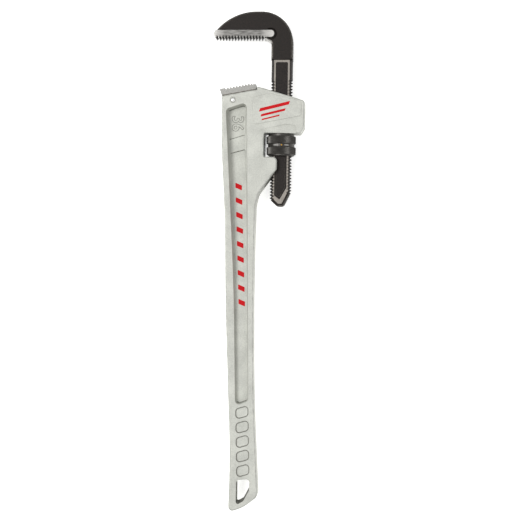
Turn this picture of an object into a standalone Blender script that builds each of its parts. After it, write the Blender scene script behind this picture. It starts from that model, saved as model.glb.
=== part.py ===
"""Straight pipe wrench with a cast aluminium handle, lying flat.

+Y runs along the handle towards the jaws, +X from the jaw tips to the back of the hook,
+Z through the thickness. The values below are millimetres in the wrench's drawing, whose
origin is on the axis of the hook's shank at the middle of the nut, half way through the
thickness. place_on_base() moves the whole wrench so that the world origin is at the centre
of the base of its bounding box.
"""

import math

import bmesh
import bpy
from mathutils import Matrix, Vector

MM = 0.001
FIT = 0.3  # gap between pieces that touch

# Shank of the hook jaw
SHANK_R = 19.6
SHANK_HALF = 12.5
SHANK_TIP_Y = -113.0
SHANK_TIP_HALF_X = 6.0
SHANK_POINT_Y = -83.5
SHANK_POINT_LEAN = 15.5
SHANK_TO_PANEL = 8.6
PANEL_DEPTH = 1.2
PANEL_RIM = 3.8

# Thread of the shank, right hand and single start
PITCH = 5.6
THREAD_DEPTH = 2.8
CREST_WIDTH = 1.6
THREAD_GAP = 0.45
THREAD_COLUMNS = 20

# Head of the hook jaw
HOOK_HALF = 14.5
HOOK_TOP_Y = 241.5
HOOK_BACK_R = 57.0
HOOK_BROW_R = 96.6
HOOK_BROW_SETBACK = 78.4
HOOK_EDGE = 3.0
HOOK_DEPTH = 49.0
NECK_LENGTH = 39.5
PLAIN_LENGTH = 34.0
JAW_HALF = 17.5
TOOTH_PITCH = 5.55
TOOTH_DEPTH = 4.5
TOOTH_FLAT = 1.2
HOOK_TEETH = 16
TOOTH_LAND = 2.0
HOOK_NOSE = 3.2
BAND_HEIGHT = 14.5
BAND_END_GAP = 1.4
BAND_END_R = 6.4
THROAT_DEPTH = 11.4
THROAT_DROP = 7.7

# Nut
NUT_WALL = 7.8
NUT_FLANGE = 14.1
NUT_GROOVE = 5.6
NUT_GROOVE_DEPTH = 2.4
NUT_EDGE = 1.5
NUT_TOP_Y = 15.0
NUT_HUB_WALL = 3.9
NUT_HUB = 4.2
NUT_FOOT = 2.0
ROCK_ROOM = 2.8

# Heel jaw, in its own frame: u along the seat, v square to it
HEEL_SLOPE = math.radians(10.5)
HEEL_CORNER = (-108.6, 86.8)
HEEL_LENGTH = 65.0
HEEL_HEIGHT = 12.2
HEEL_TOOTH_DEPTH = 2.4
HEEL_TEETH = 9
HEEL_LAND = 8.2
HEEL_NOTCH = 1.6
TANG_START = 8.0
TANG_LENGTH = 42.0
TANG_DEPTH = 18.0
TANG_HALF = 8.0
PIN_U = 19.3
PIN_V = -11.5
PIN_R = 4.0

# Head of the handle casting
HEAD_HALF = 23.0
HEAD_LEFT_X = -107.8
HEAD_SHOULDER = (-43.2, 104.0)
HEAD_RIGHT_DROP = 25.5
HEAD_WALL = 21.7
HEAD_CHIN_Y = 31.0
HEAD_CHIN = (7.0, 12.0)
SPRING_ROOM = 4.9
SLOT_GAP = 1.2
NUT_SIDE_GAP = 2.0
NOSE_OVERLAP = 13.0
NOSE_HEIGHT = 21.8
NOSE_FOOT = (-39.8, -91.2)
NOSE_R = 7.0
CASTING_EDGE = 2.6

# Handle
GRIP_HALF = 15.5
TAPER_TOP_Y = -95.0
TAPER_END_Y = -330.0
HANDLE_END_Y = -670.5
WEB_HALF = 5.0
BAND_STEP = 2.0
POCKET_DRAFT = 0.22
DIMPLE_DEPTH = 1.8
DIMPLE_COUNT = 5
DIMPLE_PITCH = 26.4
DIMPLE_WIDTH = 24.0
DIMPLE_HEIGHT = 20.5

# Springs
STRIP_THICK = 1.0
STRIP_HALF = 8.0
STRIP_FOOT_Y = -60.0
STRIP_TOP_Y = 66.0
COIL_Y = 50.0
COIL_R = 3.2
WIRE_R = 0.65
COIL_TURNS = 6
COIL_BORE = 20.0
SCREW_Y = -50.0
SCREW_R = 1.9
SCREW_HEAD_R = 3.6
SCREW_HEAD = 1.5
SCREW_LENGTH = 9.0

# Sizes and places that follow from the sizes above
PANEL_HALF_X = SHANK_R - SHANK_TO_PANEL
HOOK_TEETH_Y = HOOK_TOP_Y - HOOK_DEPTH
FLAT_TOP_Y = HOOK_TEETH_Y - NECK_LENGTH
THREAD_TOP_Y = FLAT_TOP_Y - PLAIN_LENGTH
THROAT_X = -(SHANK_R + THROAT_DEPTH)
HOOK_TEETH_X = THROAT_X - TOOTH_LAND
HOOK_TIP_X = HOOK_TEETH_X - HOOK_TEETH * TOOTH_PITCH - HOOK_NOSE
HOOK_BROW_X = HOOK_TIP_X + HOOK_BROW_SETBACK
BAND_END_X = -(SHANK_R + BAND_END_GAP)
NUT_R = SHANK_R + NUT_WALL
NUT_HUB_R = SHANK_R + NUT_HUB_WALL
NUT_BASE_Y = NUT_TOP_Y - 2 * NUT_FLANGE - NUT_GROOVE
WINDOW_TOP_Y = NUT_TOP_Y + NUT_HUB + FIT
WINDOW_BASE_Y = NUT_BASE_Y - NUT_FOOT - ROCK_ROOM
WINDOW_X = -(NUT_R + NUT_SIDE_GAP)
SLOT_LEFT_X = -(SHANK_R + SPRING_ROOM)
SLOT_RIGHT_X = SHANK_R + SLOT_GAP
SLOT_HALF = HOOK_HALF + 0.8
HEAD_RIGHT_X = SLOT_RIGHT_X + HEAD_WALL
NOSE_X = NOSE_OVERLAP - SHANK_R
NOSE_BASE_Y = WINDOW_BASE_Y - NOSE_HEIGHT
HOOK_BACK_Y = HOOK_TOP_Y - HOOK_BACK_R
HOOK_BROW_Y = HOOK_TOP_Y - HOOK_BROW_R
ROCK_PIVOT = (NUT_HUB_R, WINDOW_TOP_Y)

CUTTERS = []


# Outlines -----------------------------------------------------------------------------


def arc(centre, radius, start, end, steps):
    """Points on an arc from start to end, in degrees, both ends included."""
    angles = [math.radians(start + (end - start) * i / steps) for i in range(steps + 1)]
    return [(centre[0] + radius * math.cos(a), centre[1] + radius * math.sin(a)) for a in angles]


def rounded(corners, most_turn=24.0):
    """Outline through corners (x, y, radius), each corner turned into an arc of its radius."""
    outline = []
    for i, (x, y, radius) in enumerate(corners):
        here = Vector((x, y))
        before = Vector(corners[i - 1][:2]) - here
        after = Vector(corners[(i + 1) % len(corners)][:2]) - here
        if radius == 0:
            outline.append((x, y))
            continue
        turn = math.pi - before.angle(after)
        reach = min(radius * math.tan(turn / 2), 0.48 * before.length, 0.48 * after.length)
        steps = max(2, math.ceil(math.degrees(turn) / most_turn))
        start = here + before.normalized() * reach
        end = here + after.normalized() * reach
        for step in range(steps + 1):
            t = step / steps
            # a conic whose weight makes it the circle's arc
            weight = math.cos(turn / 2)
            near, middle, far = (1 - t) ** 2, 2 * weight * t * (1 - t), t * t
            point = (start * near + here * middle + end * far) / (near + middle + far)
            outline.append(tuple(point))
    return outline


def inset(corners, distance):
    """The corners (x, y, radius) moved inwards by distance. They run anticlockwise."""
    moved = []
    for i, (x, y, radius) in enumerate(corners):
        here = Vector((x, y))
        before = (here - Vector(corners[i - 1][:2])).normalized()
        after = (Vector(corners[(i + 1) % len(corners)][:2]) - here).normalized()
        along = (before + after).normalized()
        place = here + Vector((-along.y, along.x)) * distance / along.dot(before)
        moved.append((place.x, place.y, max(radius - distance, 0.3)))
    return moved


def heel_point(u, v):
    """A point of the heel jaw's frame, in the drawing."""
    cos, sin = math.cos(HEEL_SLOPE), math.sin(HEEL_SLOPE)
    return (HEEL_CORNER[0] + u * cos - v * sin, HEEL_CORNER[1] + u * sin + v * cos)


def seat_y(x):
    """Height at x of the seat that the heel jaw rests on."""
    return HEEL_CORNER[1] - FIT / math.cos(HEEL_SLOPE) + (x - HEEL_CORNER[0]) * math.tan(HEEL_SLOPE)


def half_thickness(y):
    """Half the casting's thickness: full at the head, then tapering to the grip."""
    share = (TAPER_TOP_Y - y) / (TAPER_TOP_Y - TAPER_END_Y)
    return HEAD_HALF + (GRIP_HALF - HEAD_HALF) * min(1.0, max(0.0, share))


def teeth(count, pitch, depth, flat):
    """Grooves side by side from 0, as (distance, depth below the tips)."""
    flank = (pitch - 2 * flat) / 2
    points = []
    for i in range(count):
        start = i * pitch
        points += [(start, 0.0), (start + flank, depth)]
        points += [(start + flank + flat, depth), (start + 2 * flank + flat, 0.0)]
    return points


# Meshes -------------------------------------------------------------------------------


def new_material(name, colour, roughness, metallic):
    material = bpy.data.materials.new(name)
    material.use_nodes = True
    shader = material.node_tree.nodes["Principled BSDF"]
    shader.inputs["Base Color"].default_value = (*colour, 1.0)
    shader.inputs["Roughness"].default_value = roughness
    shader.inputs["Metallic"].default_value = metallic
    material.diffuse_color = (*colour, 1.0)
    return material


def new_object(name, mesh, origin=(0, 0, 0), material=None):
    """An object whose own origin is at that point of the drawing."""
    mesh.transform(Matrix.Scale(MM, 4) @ Matrix.Translation(-Vector(origin)))
    mesh.shade_smooth()
    mesh.set_sharp_from_angle(angle=math.radians(28))
    obj = bpy.data.objects.new(name, mesh)
    obj.location = Vector(origin) * MM
    bpy.context.scene.collection.objects.link(obj)
    if material:
        mesh.materials.append(material)
    return obj


def mesh_from(bm):
    bmesh.ops.recalc_face_normals(bm, faces=bm.faces)
    mesh = bpy.data.meshes.new("shape")
    bm.to_mesh(mesh)
    bm.free()
    return mesh


def loft(lower, upper, low_z, high_z):
    """Closed solid between two outlines of as many points, at two heights."""
    bm = bmesh.new()
    rings = [[bm.verts.new((x, y, z)) for x, y in ring] for ring, z in ((lower, low_z), (upper, high_z))]
    for i in range(len(lower)):
        j = (i + 1) % len(lower)
        bm.faces.new((rings[0][i], rings[0][j], rings[1][j], rings[1][i]))
    bm.faces.new(rings[0][::-1])
    bm.faces.new(rings[1])
    return mesh_from(bm)


def prism(outline, half):
    return loft(outline, outline, -half, half)


def block(low, high):
    """Box between two corners."""
    outline = [(low[0], low[1]), (high[0], low[1]), (high[0], high[1]), (low[0], high[1])]
    return loft(outline, outline, low[2], high[2])


def turned(profile, sides, axis="Z", centre=(0, 0, 0)):
    """Solid of revolution. The profile is (radius, height) from the base up, on the given axis."""
    bm = bmesh.new()
    rings = []
    for radius, height in profile:
        angles = [2 * math.pi * i / sides for i in range(sides)]
        rings.append([bm.verts.new((radius * math.cos(a), radius * math.sin(a), height)) for a in angles])
    for lower, upper in zip(rings, rings[1:]):
        for i in range(sides):
            j = (i + 1) % sides
            bm.faces.new((lower[i], lower[j], upper[j], upper[i]))
    bm.faces.new(rings[0][::-1])
    bm.faces.new(rings[-1])
    mesh = mesh_from(bm)
    turns = {
        "X": Matrix.Rotation(math.pi / 2, 4, "Y"),
        "Y": Matrix.Rotation(-math.pi / 2, 4, "X"),
        "Z": Matrix.Identity(4),
    }
    mesh.transform(Matrix.Translation(centre) @ turns[axis])
    return mesh


def threaded_rod(root_r, crest_r, crest_width, low_y, high_y):
    """Closed rod on the Y axis with a right-hand thread, flat crests and flat roots."""
    flank = (PITCH - 2 * CREST_WIDTH) / 2
    root_width = PITCH - 2 * flank - crest_width
    steps = [0.0, crest_width, crest_width + flank, crest_width + flank + root_width]
    radii = [crest_r, crest_r, root_r, root_r]
    turns = math.ceil((high_y - low_y) / PITCH)
    bm = bmesh.new()
    columns = []
    for column in range(THREAD_COLUMNS):
        angle = 2 * math.pi * column / THREAD_COLUMNS
        rise = PITCH * column / THREAD_COLUMNS - crest_width / 2
        points = []
        for turn in range(turns):
            for step, radius in zip(steps, radii):
                y = low_y + turn * PITCH + rise + step
                points.append(bm.verts.new((radius * math.sin(angle), y, radius * math.cos(angle))))
        columns.append(points)
    per_turn = len(steps)
    last = len(columns[0]) - 1
    for column in range(THREAD_COLUMNS - 1):
        for i in range(last):
            here, after = columns[column], columns[column + 1]
            bm.faces.new((here[i], after[i], after[i + 1], here[i + 1]))
    for i in range(last - per_turn):
        here, after = columns[-1], columns[0]
        bm.faces.new((here[i], after[i + per_turn], after[i + per_turn + 1], here[i + 1]))
    base = [points[0] for points in columns] + columns[0][per_turn:0:-1]
    top = [points[last] for points in columns] + columns[-1][last - 1 : last - per_turn - 1 : -1]
    for ring, y in ((base, low_y - PITCH), (top, high_y + 2 * PITCH)):
        apex = bm.verts.new((0, y, 0))
        for a, b in zip(ring, ring[1:] + ring[:1]):
            bm.faces.new((apex, a, b))
    return mesh_from(bm)


def combine(target, mesh, operation, name):
    """Adds, cuts or keeps what it shares with another shape, which stays as a hidden helper."""
    helper = new_object(f"{target.name}_{name}", mesh)
    helper.hide_render = True
    helper.display_type = "WIRE"
    CUTTERS.append(helper)
    modifier = target.modifiers.new(name, "BOOLEAN")
    modifier.operation = operation
    modifier.solver = "EXACT"
    modifier.object = helper
    return helper


def soften(target, width, segments=2, angle=40.0):
    """Rounds the edges that are sharper than the angle."""
    modifier = target.modifiers.new("soften", "BEVEL")
    modifier.width = width * MM
    modifier.segments = segments
    modifier.limit_method = "ANGLE"
    modifier.angle_limit = math.radians(angle)
    return modifier


# Pieces -------------------------------------------------------------------------------


def hook_outline():
    """Head of the hook: round back and brow, straight jaw, throat and the top of the shank."""
    back = arc((SHANK_R - HOOK_BACK_R, HOOK_BACK_Y), HOOK_BACK_R, 0, 90, 7)
    jaw_y = HOOK_TEETH_Y + BAND_HEIGHT
    brow_end = math.degrees(math.asin((jaw_y - HOOK_BROW_Y) / HOOK_BROW_R))
    brow = arc((HOOK_BROW_X, HOOK_BROW_Y), HOOK_BROW_R, 90, 180 - brow_end, 6)
    root_y = HOOK_TEETH_Y + TOOTH_DEPTH + HOOK_EDGE
    jaw = [(HOOK_TIP_X + 5.0, root_y), (THROAT_X, root_y), (THROAT_X, HOOK_TEETH_Y)]
    throat = [(-SHANK_R, HOOK_TEETH_Y - THROAT_DROP)]
    return back + brow + jaw + throat + [(-SHANK_R, FLAT_TOP_Y), (SHANK_R, FLAT_TOP_Y)]


def tooth_band_outline():
    """Toothed band: grooves along its base, a round end by the throat."""
    top_y = HOOK_TEETH_Y + BAND_HEIGHT
    end = arc((BAND_END_X, top_y - BAND_END_R), BAND_END_R, -90, 90, 6)
    grooves = teeth(HOOK_TEETH, TOOTH_PITCH, TOOTH_DEPTH, TOOTH_FLAT)
    edge = [(HOOK_TEETH_X - along, HOOK_TEETH_Y + depth) for along, depth in grooves]
    tip = [(HOOK_TIP_X + 1.2, HOOK_TEETH_Y + 4.0), (HOOK_TIP_X, top_y - 6.0), (HOOK_TIP_X + 3.0, top_y)]
    return end + tip[::-1] + edge[::-1] + [(THROAT_X, HOOK_TEETH_Y), (THROAT_X, top_y - 2 * BAND_END_R)]


def shank_outline(margin=0.0, top_y=FLAT_TOP_Y + 10.0):
    """Front view of the shank with its blunt point, or of the panel on its face."""
    half = SHANK_R + 1.0 if margin == 0 else PANEL_HALF_X
    tip_y = SHANK_TIP_Y + margin * 1.6
    corners = [
        (-half, SHANK_POINT_Y - SHANK_POINT_LEAN + margin, 2.0),
        (-SHANK_TIP_HALF_X + margin, tip_y, 3.0),
        (SHANK_TIP_HALF_X - margin, tip_y, 3.0),
        (half, SHANK_POINT_Y + margin, 2.0),
        (half, top_y, 2.5),
        (-half, top_y, 2.5),
    ]
    return rounded(corners)


def make_hook(material):
    rod = threaded_rod(SHANK_R - THREAD_DEPTH, SHANK_R, CREST_WIDTH, SHANK_TIP_Y - 3 * PITCH, THREAD_TOP_Y)
    hook = new_object("hook_jaw", rod, material=material)
    plain = turned([(SHANK_R, 0.0), (SHANK_R, PLAIN_LENGTH + 12.0)], THREAD_COLUMNS, "Y")
    # half a facet round, so that no facet lies in a crest's
    half_facet = Matrix.Rotation(math.pi / THREAD_COLUMNS, 4, "Y")
    plain.transform(Matrix.Translation((0, THREAD_TOP_Y, 0)) @ half_facet)
    combine(hook, plain, "UNION", "plain_shank")
    combine(hook, prism(shank_outline(), SHANK_HALF), "INTERSECT", "shank_form")
    head = combine(hook, prism(hook_outline(), HOOK_HALF), "UNION", "head_form")
    soften(head, HOOK_EDGE, 2)
    combine(hook, prism(tooth_band_outline(), JAW_HALF), "UNION", "tooth_band")
    panel = shank_outline(PANEL_RIM, FLAT_TOP_Y - PANEL_RIM)
    for side, name in ((1, "front_panel"), (-1, "back_panel")):
        low, high = sorted((side * (SHANK_HALF - PANEL_DEPTH), side * (SHANK_HALF + 1.0)))
        combine(hook, loft(panel, panel, low, high), "DIFFERENCE", name)
    return hook


def make_nut(material):
    edge_r = NUT_R - NUT_EDGE
    groove_r = NUT_R - NUT_GROOVE_DEPTH
    low, high = NUT_BASE_Y, NUT_TOP_Y
    groove = (low + NUT_FLANGE, high - NUT_FLANGE)
    profile = [(NUT_HUB_R, low - NUT_FOOT), (NUT_HUB_R, low)]
    for base, top in ((low, groove[0]), (groove[1], high)):
        profile += [(edge_r, base), (NUT_R, base + NUT_EDGE), (NUT_R, top - NUT_EDGE), (edge_r, top)]
        profile += [(groove_r, top)] if top < high else []
        profile += [(groove_r, groove[1])] if top < high else []
    profile += [(NUT_HUB_R, high), (NUT_HUB_R, high + NUT_HUB)]
    centre_y = (low + high) / 2
    nut = new_object("adjusting_nut", turned(profile, 40, "Y"), (0, centre_y, 0), material)
    turns = math.ceil((high - low) / PITCH) + 6
    first_y = SHANK_TIP_Y - 3 * PITCH + PITCH * math.floor((low - SHANK_TIP_Y) / PITCH)
    bore = threaded_rod(
        SHANK_R - THREAD_DEPTH + THREAD_GAP,
        SHANK_R + THREAD_GAP,
        CREST_WIDTH + 2 * FIT,
        first_y,
        first_y + turns * PITCH,
    )
    combine(nut, bore, "DIFFERENCE", "thread")
    return nut


def make_heel_jaw(material):
    grooves = teeth(HEEL_TEETH, TOOTH_PITCH, HEEL_TOOTH_DEPTH, TOOTH_FLAT)
    ridge = [(HEEL_LAND + along, HEEL_HEIGHT - depth) for along, depth in grooves]
    end_v = HEEL_HEIGHT - HEEL_TOOTH_DEPTH
    sides = [(HEEL_NOTCH, 0.0), (HEEL_LENGTH - HEEL_NOTCH, 0.0), (HEEL_LENGTH, HEEL_NOTCH)]
    top = [(HEEL_LENGTH, end_v), (ridge[-1][0] + TOOTH_FLAT, end_v)] + ridge[::-1]
    end = [(-0.4, end_v + 1.2), (0.0, HEEL_NOTCH)]
    outline = [heel_point(u, v) for u, v in sides + top + end]
    heel = new_object("heel_jaw", prism(outline, JAW_HALF), material=material)
    tang = [
        (TANG_START, -TANG_DEPTH),
        (TANG_START + TANG_LENGTH, -TANG_DEPTH),
        (TANG_START + TANG_LENGTH, 2.0),
        (TANG_START, 2.0),
    ]
    combine(heel, prism([heel_point(u, v) for u, v in tang], TANG_HALF), "UNION", "tang")
    combine(heel, pin_hole(), "DIFFERENCE", "pin_hole")
    return heel


def pin_hole():
    x, y = heel_point(PIN_U, PIN_V)
    reach = HEAD_HALF + 2.0
    return turned([(PIN_R + FIT, -reach), (PIN_R + FIT, reach)], 20, "Z", (x, y, 0))


def make_pin(material):
    x, y = heel_point(PIN_U, PIN_V)
    bevel = 0.5
    half = HEAD_HALF - FIT
    profile = [(PIN_R - bevel, -half), (PIN_R, bevel - half), (PIN_R, half - bevel), (PIN_R - bevel, half)]
    return new_object("heel_jaw_pin", turned(profile, 20, "Z", (x, y, 0)), (x, y, 0), material)


def casting_outline():
    """Front view of the casting, from the heel jaw's seat round the handle's end and back by the nose."""
    left_x = HEAD_LEFT_X
    right_y = HEAD_SHOULDER[1] - HEAD_RIGHT_DROP
    end_y = HANDLE_END_Y
    corners = [
        (left_x, seat_y(left_x), 2.0),
        (left_x, 5.0, 400.0),
        (left_x + 8.5, -140.0, 900.0),
        (left_x + 11.2, -300.0, 2400.0),
        (left_x + 23.2, end_y + 95.5, 1500.0),
        (left_x + 20.6, end_y, 8.0),
        (left_x + 47.0, end_y + 8.5, 60.0),
        (left_x + 74.4, end_y + 30.0, 14.0),
        (left_x + 63.9, end_y + 215.0, 3000.0),
        (left_x + 61.1, -240.0, 3000.0),
        (left_x + 63.2, -112.0, 40.0),
        (NOSE_FOOT[0], NOSE_FOOT[1], 25.0),
        (NOSE_X, NOSE_BASE_Y, 4.0),
        (NOSE_X, WINDOW_BASE_Y, NOSE_R),
        (WINDOW_X, WINDOW_BASE_Y, 3.0),
        (WINDOW_X, WINDOW_TOP_Y, 3.0),
        (HEAD_RIGHT_X - HEAD_CHIN[0], WINDOW_TOP_Y, 3.0),
        (HEAD_RIGHT_X, HEAD_CHIN_Y, 8.0),
        (HEAD_RIGHT_X, right_y, 4.0),
        (HEAD_SHOULDER[0], HEAD_SHOULDER[1], 1.0),
        (HEAD_SHOULDER[0] - 1.5, seat_y(HEAD_SHOULDER[0] - 1.5), 0.0),
    ]
    return rounded(corners)


def pocket_corners(top, base):
    """Corners of a pocket between the two rims, from its top line to its base, each a pair (left, right)."""
    left = HEAD_LEFT_X
    return [
        base[0],
        base[1],
        (left + 49.3, -102.0, 900.0),
        top[1],
        top[0],
        (left + 17.1, -102.0, 900.0),
        (left + 24.4, -243.0, 2400.0),
    ]


def casting_blank():
    """Prism of the casting's outline, thinned towards the grip."""
    mesh = prism(casting_outline(), HEAD_HALF)
    bm = bmesh.new()
    bm.from_mesh(mesh)
    for y in (TAPER_TOP_Y, TAPER_END_Y):
        everything = bm.verts[:] + bm.edges[:] + bm.faces[:]
        bmesh.ops.bisect_plane(bm, geom=everything, plane_co=(0, y, 0), plane_no=(0, 1, 0), dist=0.01)
    for vertex in bm.verts:
        vertex.co.z = math.copysign(half_thickness(vertex.co.y), vertex.co.z)
    return mesh_from(bm)


def make_handle(material):
    handle = new_object("handle", casting_blank(), material=material)
    soften(handle, CASTING_EDGE, 2)
    cut_pockets(handle)
    cut_grip(handle)
    cut_slots(handle)
    return handle


def cut_both_faces(handle, corners, face, floor, name):
    """Cuts a drafted recess into the front and the back. The corners lie at the height of the face."""
    outer = HEAD_HALF + 2.0
    narrow = rounded(inset(corners, POCKET_DRAFT * (face - floor)))
    wide = rounded(inset(corners, -POCKET_DRAFT * (outer - face)))
    combine(handle, loft(narrow, wide, floor, outer), "DIFFERENCE", f"front_{name}")
    combine(handle, loft(wide, narrow, -outer, -floor), "DIFFERENCE", f"back_{name}")


def cut_pockets(handle):
    """The long pocket on each face, with a raised band across it."""
    left = HEAD_LEFT_X
    top = ((left + 7.3, 62.5, 8.0), (left + 45.6, 75.5, 8.0))
    base = ((left + 30.3, -478.0, 9.0), (left + 56.0, -467.5, 8.0))
    shelf = WEB_HALF + BAND_STEP
    cut_both_faces(handle, pocket_corners(top, base), HEAD_HALF, shelf, "pocket")
    inner = POCKET_DRAFT * (HEAD_HALF - shelf) + BAND_STEP
    band_top = ((left + 11.0, 6.8 - inner, 0.5), (left + 44.6, 17.4 - inner, 0.5))
    band_base = ((left + 12.6, -17.0 + inner, 0.5), (left + 45.0, -8.0 + inner, 0.5))
    upper = inset([band_top[0], band_top[1], top[1], top[0]], inner)
    cut_both_faces(handle, upper, shelf, WEB_HALF, "upper_floor")
    lower = inset(pocket_corners(band_base, base), inner)
    cut_both_faces(handle, lower, shelf, WEB_HALF, "lower_floor")


def cut_grip(handle):
    """Shallow finger recesses and the slanted hang hole."""
    slant = 0.3
    for i in range(DIMPLE_COUNT):
        share = i / (DIMPLE_COUNT - 1)
        x = HEAD_LEFT_X + 43.8 + 3.0 * share
        y = HANDLE_END_Y + 182.5 - i * DIMPLE_PITCH
        half_x, half_y = DIMPLE_WIDTH / 2, DIMPLE_HEIGHT / 2
        rise = slant * half_x
        corners = [
            (x - half_x, y - half_y - rise, 5.5),
            (x + half_x, y - half_y + rise, 5.5),
            (x + half_x, y + half_y + rise, 5.5),
            (x - half_x, y + half_y - rise, 5.5),
        ]
        cut_both_faces(handle, corners, GRIP_HALF, GRIP_HALF - DIMPLE_DEPTH, f"dimple_{i}")
    left, end = HEAD_LEFT_X, HANDLE_END_Y
    hole = [
        (left + 34.8, end + 12.0, 7.0),
        (left + 48.3, end + 20.0, 7.0),
        (left + 60.1, end + 40.0, 7.0),
        (left + 60.1, end + 61.5, 6.0),
        (left + 34.8, end + 59.0, 6.0),
    ]
    combine(handle, prism(rounded(hole), GRIP_HALF + 4.0), "DIFFERENCE", "hang_hole")


def cut_slots(handle):
    """Slot and channel for the shank, and the places of the heel jaw, its pin and the springs."""
    top = HEAD_SHOULDER[1] + 5.0
    slot = block((SLOT_LEFT_X, WINDOW_TOP_Y - 3.0, -SLOT_HALF), (SLOT_RIGHT_X, top, SLOT_HALF))
    combine(handle, slot, "DIFFERENCE", "shank_slot")
    channel_half = SHANK_HALF + 0.8
    channel = block((WINDOW_X, NOSE_BASE_Y - 60.0, -channel_half), (NOSE_X + 5.0, WINDOW_BASE_Y + 3.0, channel_half))
    combine(handle, channel, "DIFFERENCE", "nose_channel")
    strip_half = STRIP_HALF + 1.0
    groove = block((WINDOW_X, WINDOW_TOP_Y - 3.0, -strip_half), (SLOT_LEFT_X + 2.0, STRIP_TOP_Y + 3.0, strip_half))
    combine(handle, groove, "DIFFERENCE", "strip_groove")
    bore = turned([(COIL_R + WIRE_R + 0.7, -COIL_BORE), (COIL_R + WIRE_R + 0.7, 4.0)], 16, "X")
    bore.transform(Matrix.Translation((WINDOW_X, COIL_Y, 0)))
    combine(handle, bore, "DIFFERENCE", "coil_bore")
    screw = turned([(SCREW_R + FIT, -SCREW_LENGTH - 1.0), (SCREW_R + FIT, 2.0)], 12, "X")
    screw.transform(Matrix.Translation((WINDOW_X, SCREW_Y, 0)))
    combine(handle, screw, "DIFFERENCE", "screw_hole")
    tang = [
        (TANG_START - FIT, -TANG_DEPTH - FIT),
        (TANG_START + TANG_LENGTH + FIT, -TANG_DEPTH - FIT),
        (TANG_START + TANG_LENGTH + FIT, 6.0),
        (TANG_START - FIT, 6.0),
    ]
    combine(handle, prism([heel_point(u, v) for u, v in tang], TANG_HALF + FIT), "DIFFERENCE", "tang_slot")
    combine(handle, pin_hole(), "DIFFERENCE", "pin_hole")


def strip_path():
    """Middle line of the flat spring: flat on the nose, clear of the nut, then out to the shank."""
    wall = WINDOW_X + FIT + STRIP_THICK / 2
    nut = -(NUT_R + FIT + STRIP_THICK / 2) - 0.1
    shank = -(SHANK_R + FIT + STRIP_THICK / 2)
    return [
        (wall, STRIP_FOOT_Y),
        (wall, WINDOW_BASE_Y),
        ((wall + nut) / 2, (WINDOW_BASE_Y + WINDOW_TOP_Y) / 2),
        (nut, WINDOW_TOP_Y),
        ((nut + shank) / 2, COIL_Y - 6.0),
        (shank, STRIP_TOP_Y - 5.0),
        (shank - 1.6, STRIP_TOP_Y),
    ]


def make_strip(material):
    path = [Vector(point) for point in strip_path()]
    left, right = [], []
    for i, here in enumerate(path):
        along = path[min(i + 1, len(path) - 1)] - path[max(i - 1, 0)]
        side = Vector((-along.y, along.x)).normalized() * STRIP_THICK / 2
        left.append(tuple(here + side))
        right.append(tuple(here - side))
    strip = new_object("flat_spring", prism(right + left[::-1], STRIP_HALF), material=material)
    hole = turned([(SCREW_R + FIT, -5.0), (SCREW_R + FIT, 5.0)], 12, "X")
    hole.transform(Matrix.Translation((path[0].x, SCREW_Y, 0)))
    combine(strip, hole, "DIFFERENCE", "screw_hole")
    return strip


def make_coil(material):
    """Compression spring between the bore's floor and the back of the flat spring."""
    path = strip_path()
    (low_x, low_y), (high_x, high_y) = path[3], path[4]
    strip_x = low_x + (high_x - low_x) * (COIL_Y - COIL_R - low_y) / (high_y - low_y)
    start = WINDOW_X - COIL_BORE + WIRE_R + FIT
    end = min(strip_x, high_x) - STRIP_THICK - WIRE_R - FIT
    curve = bpy.data.curves.new("coil_spring", "CURVE")
    curve.dimensions = "3D"
    curve.bevel_depth = WIRE_R * MM
    curve.bevel_resolution = 1
    curve.use_fill_caps = True
    steps = 14 * COIL_TURNS
    spline = curve.splines.new("POLY")
    spline.points.add(steps)
    for i, point in enumerate(spline.points):
        angle = 2 * math.pi * COIL_TURNS * i / steps
        place = (start + (end - start) * i / steps, COIL_R * math.cos(angle), COIL_R * math.sin(angle))
        point.co = (place[0] * MM, place[1] * MM, place[2] * MM, 1.0)
    coil = bpy.data.objects.new("coil_spring", curve)
    coil.location = (0, COIL_Y * MM, 0)
    curve.materials.append(material)
    bpy.context.scene.collection.objects.link(coil)
    return coil


def make_screw(material):
    face = WINDOW_X + 2 * FIT + STRIP_THICK
    profile = [
        (SCREW_R, -SCREW_LENGTH - STRIP_THICK),
        (SCREW_R, 0.0),
        (SCREW_HEAD_R, 0.0),
        (SCREW_HEAD_R, SCREW_HEAD - 0.4),
        (SCREW_HEAD_R - 0.6, SCREW_HEAD),
    ]
    return new_object("spring_screw", turned(profile, 16, "X", (face, SCREW_Y, 0)), (face, SCREW_Y, 0), material)


# Assembly -----------------------------------------------------------------------------


def new_empty(name, origin, parent=None):
    empty = bpy.data.objects.new(name, None)
    empty.location = Vector(origin) * MM
    empty.empty_display_size = 20 * MM
    bpy.context.scene.collection.objects.link(empty)
    if parent:
        attach(empty, parent)
    return empty


def attach(child, parent):
    """Parents without moving the child."""
    bpy.context.view_layer.update()
    child.parent = parent
    child.matrix_parent_inverse = parent.matrix_world.inverted()


def place_on_base(root, pieces):
    """Moves the wrench so that the origin is at the centre of the base of its bounding box."""
    bpy.context.view_layer.update()
    graph = bpy.context.evaluated_depsgraph_get()
    corners = []
    for piece in pieces:
        evaluated = piece.evaluated_get(graph)
        corners += [evaluated.matrix_world @ Vector(corner) for corner in evaluated.bound_box]
    low = Vector([min(corner[i] for corner in corners) for i in range(3)])
    high = Vector([max(corner[i] for corner in corners) for i in range(3)])
    root.location = (-(low.x + high.x) / 2, -(low.y + high.y) / 2, -low.z)


def clear_scene():
    for obj in list(bpy.data.objects):
        bpy.data.objects.remove(obj, do_unlink=True)


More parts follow.
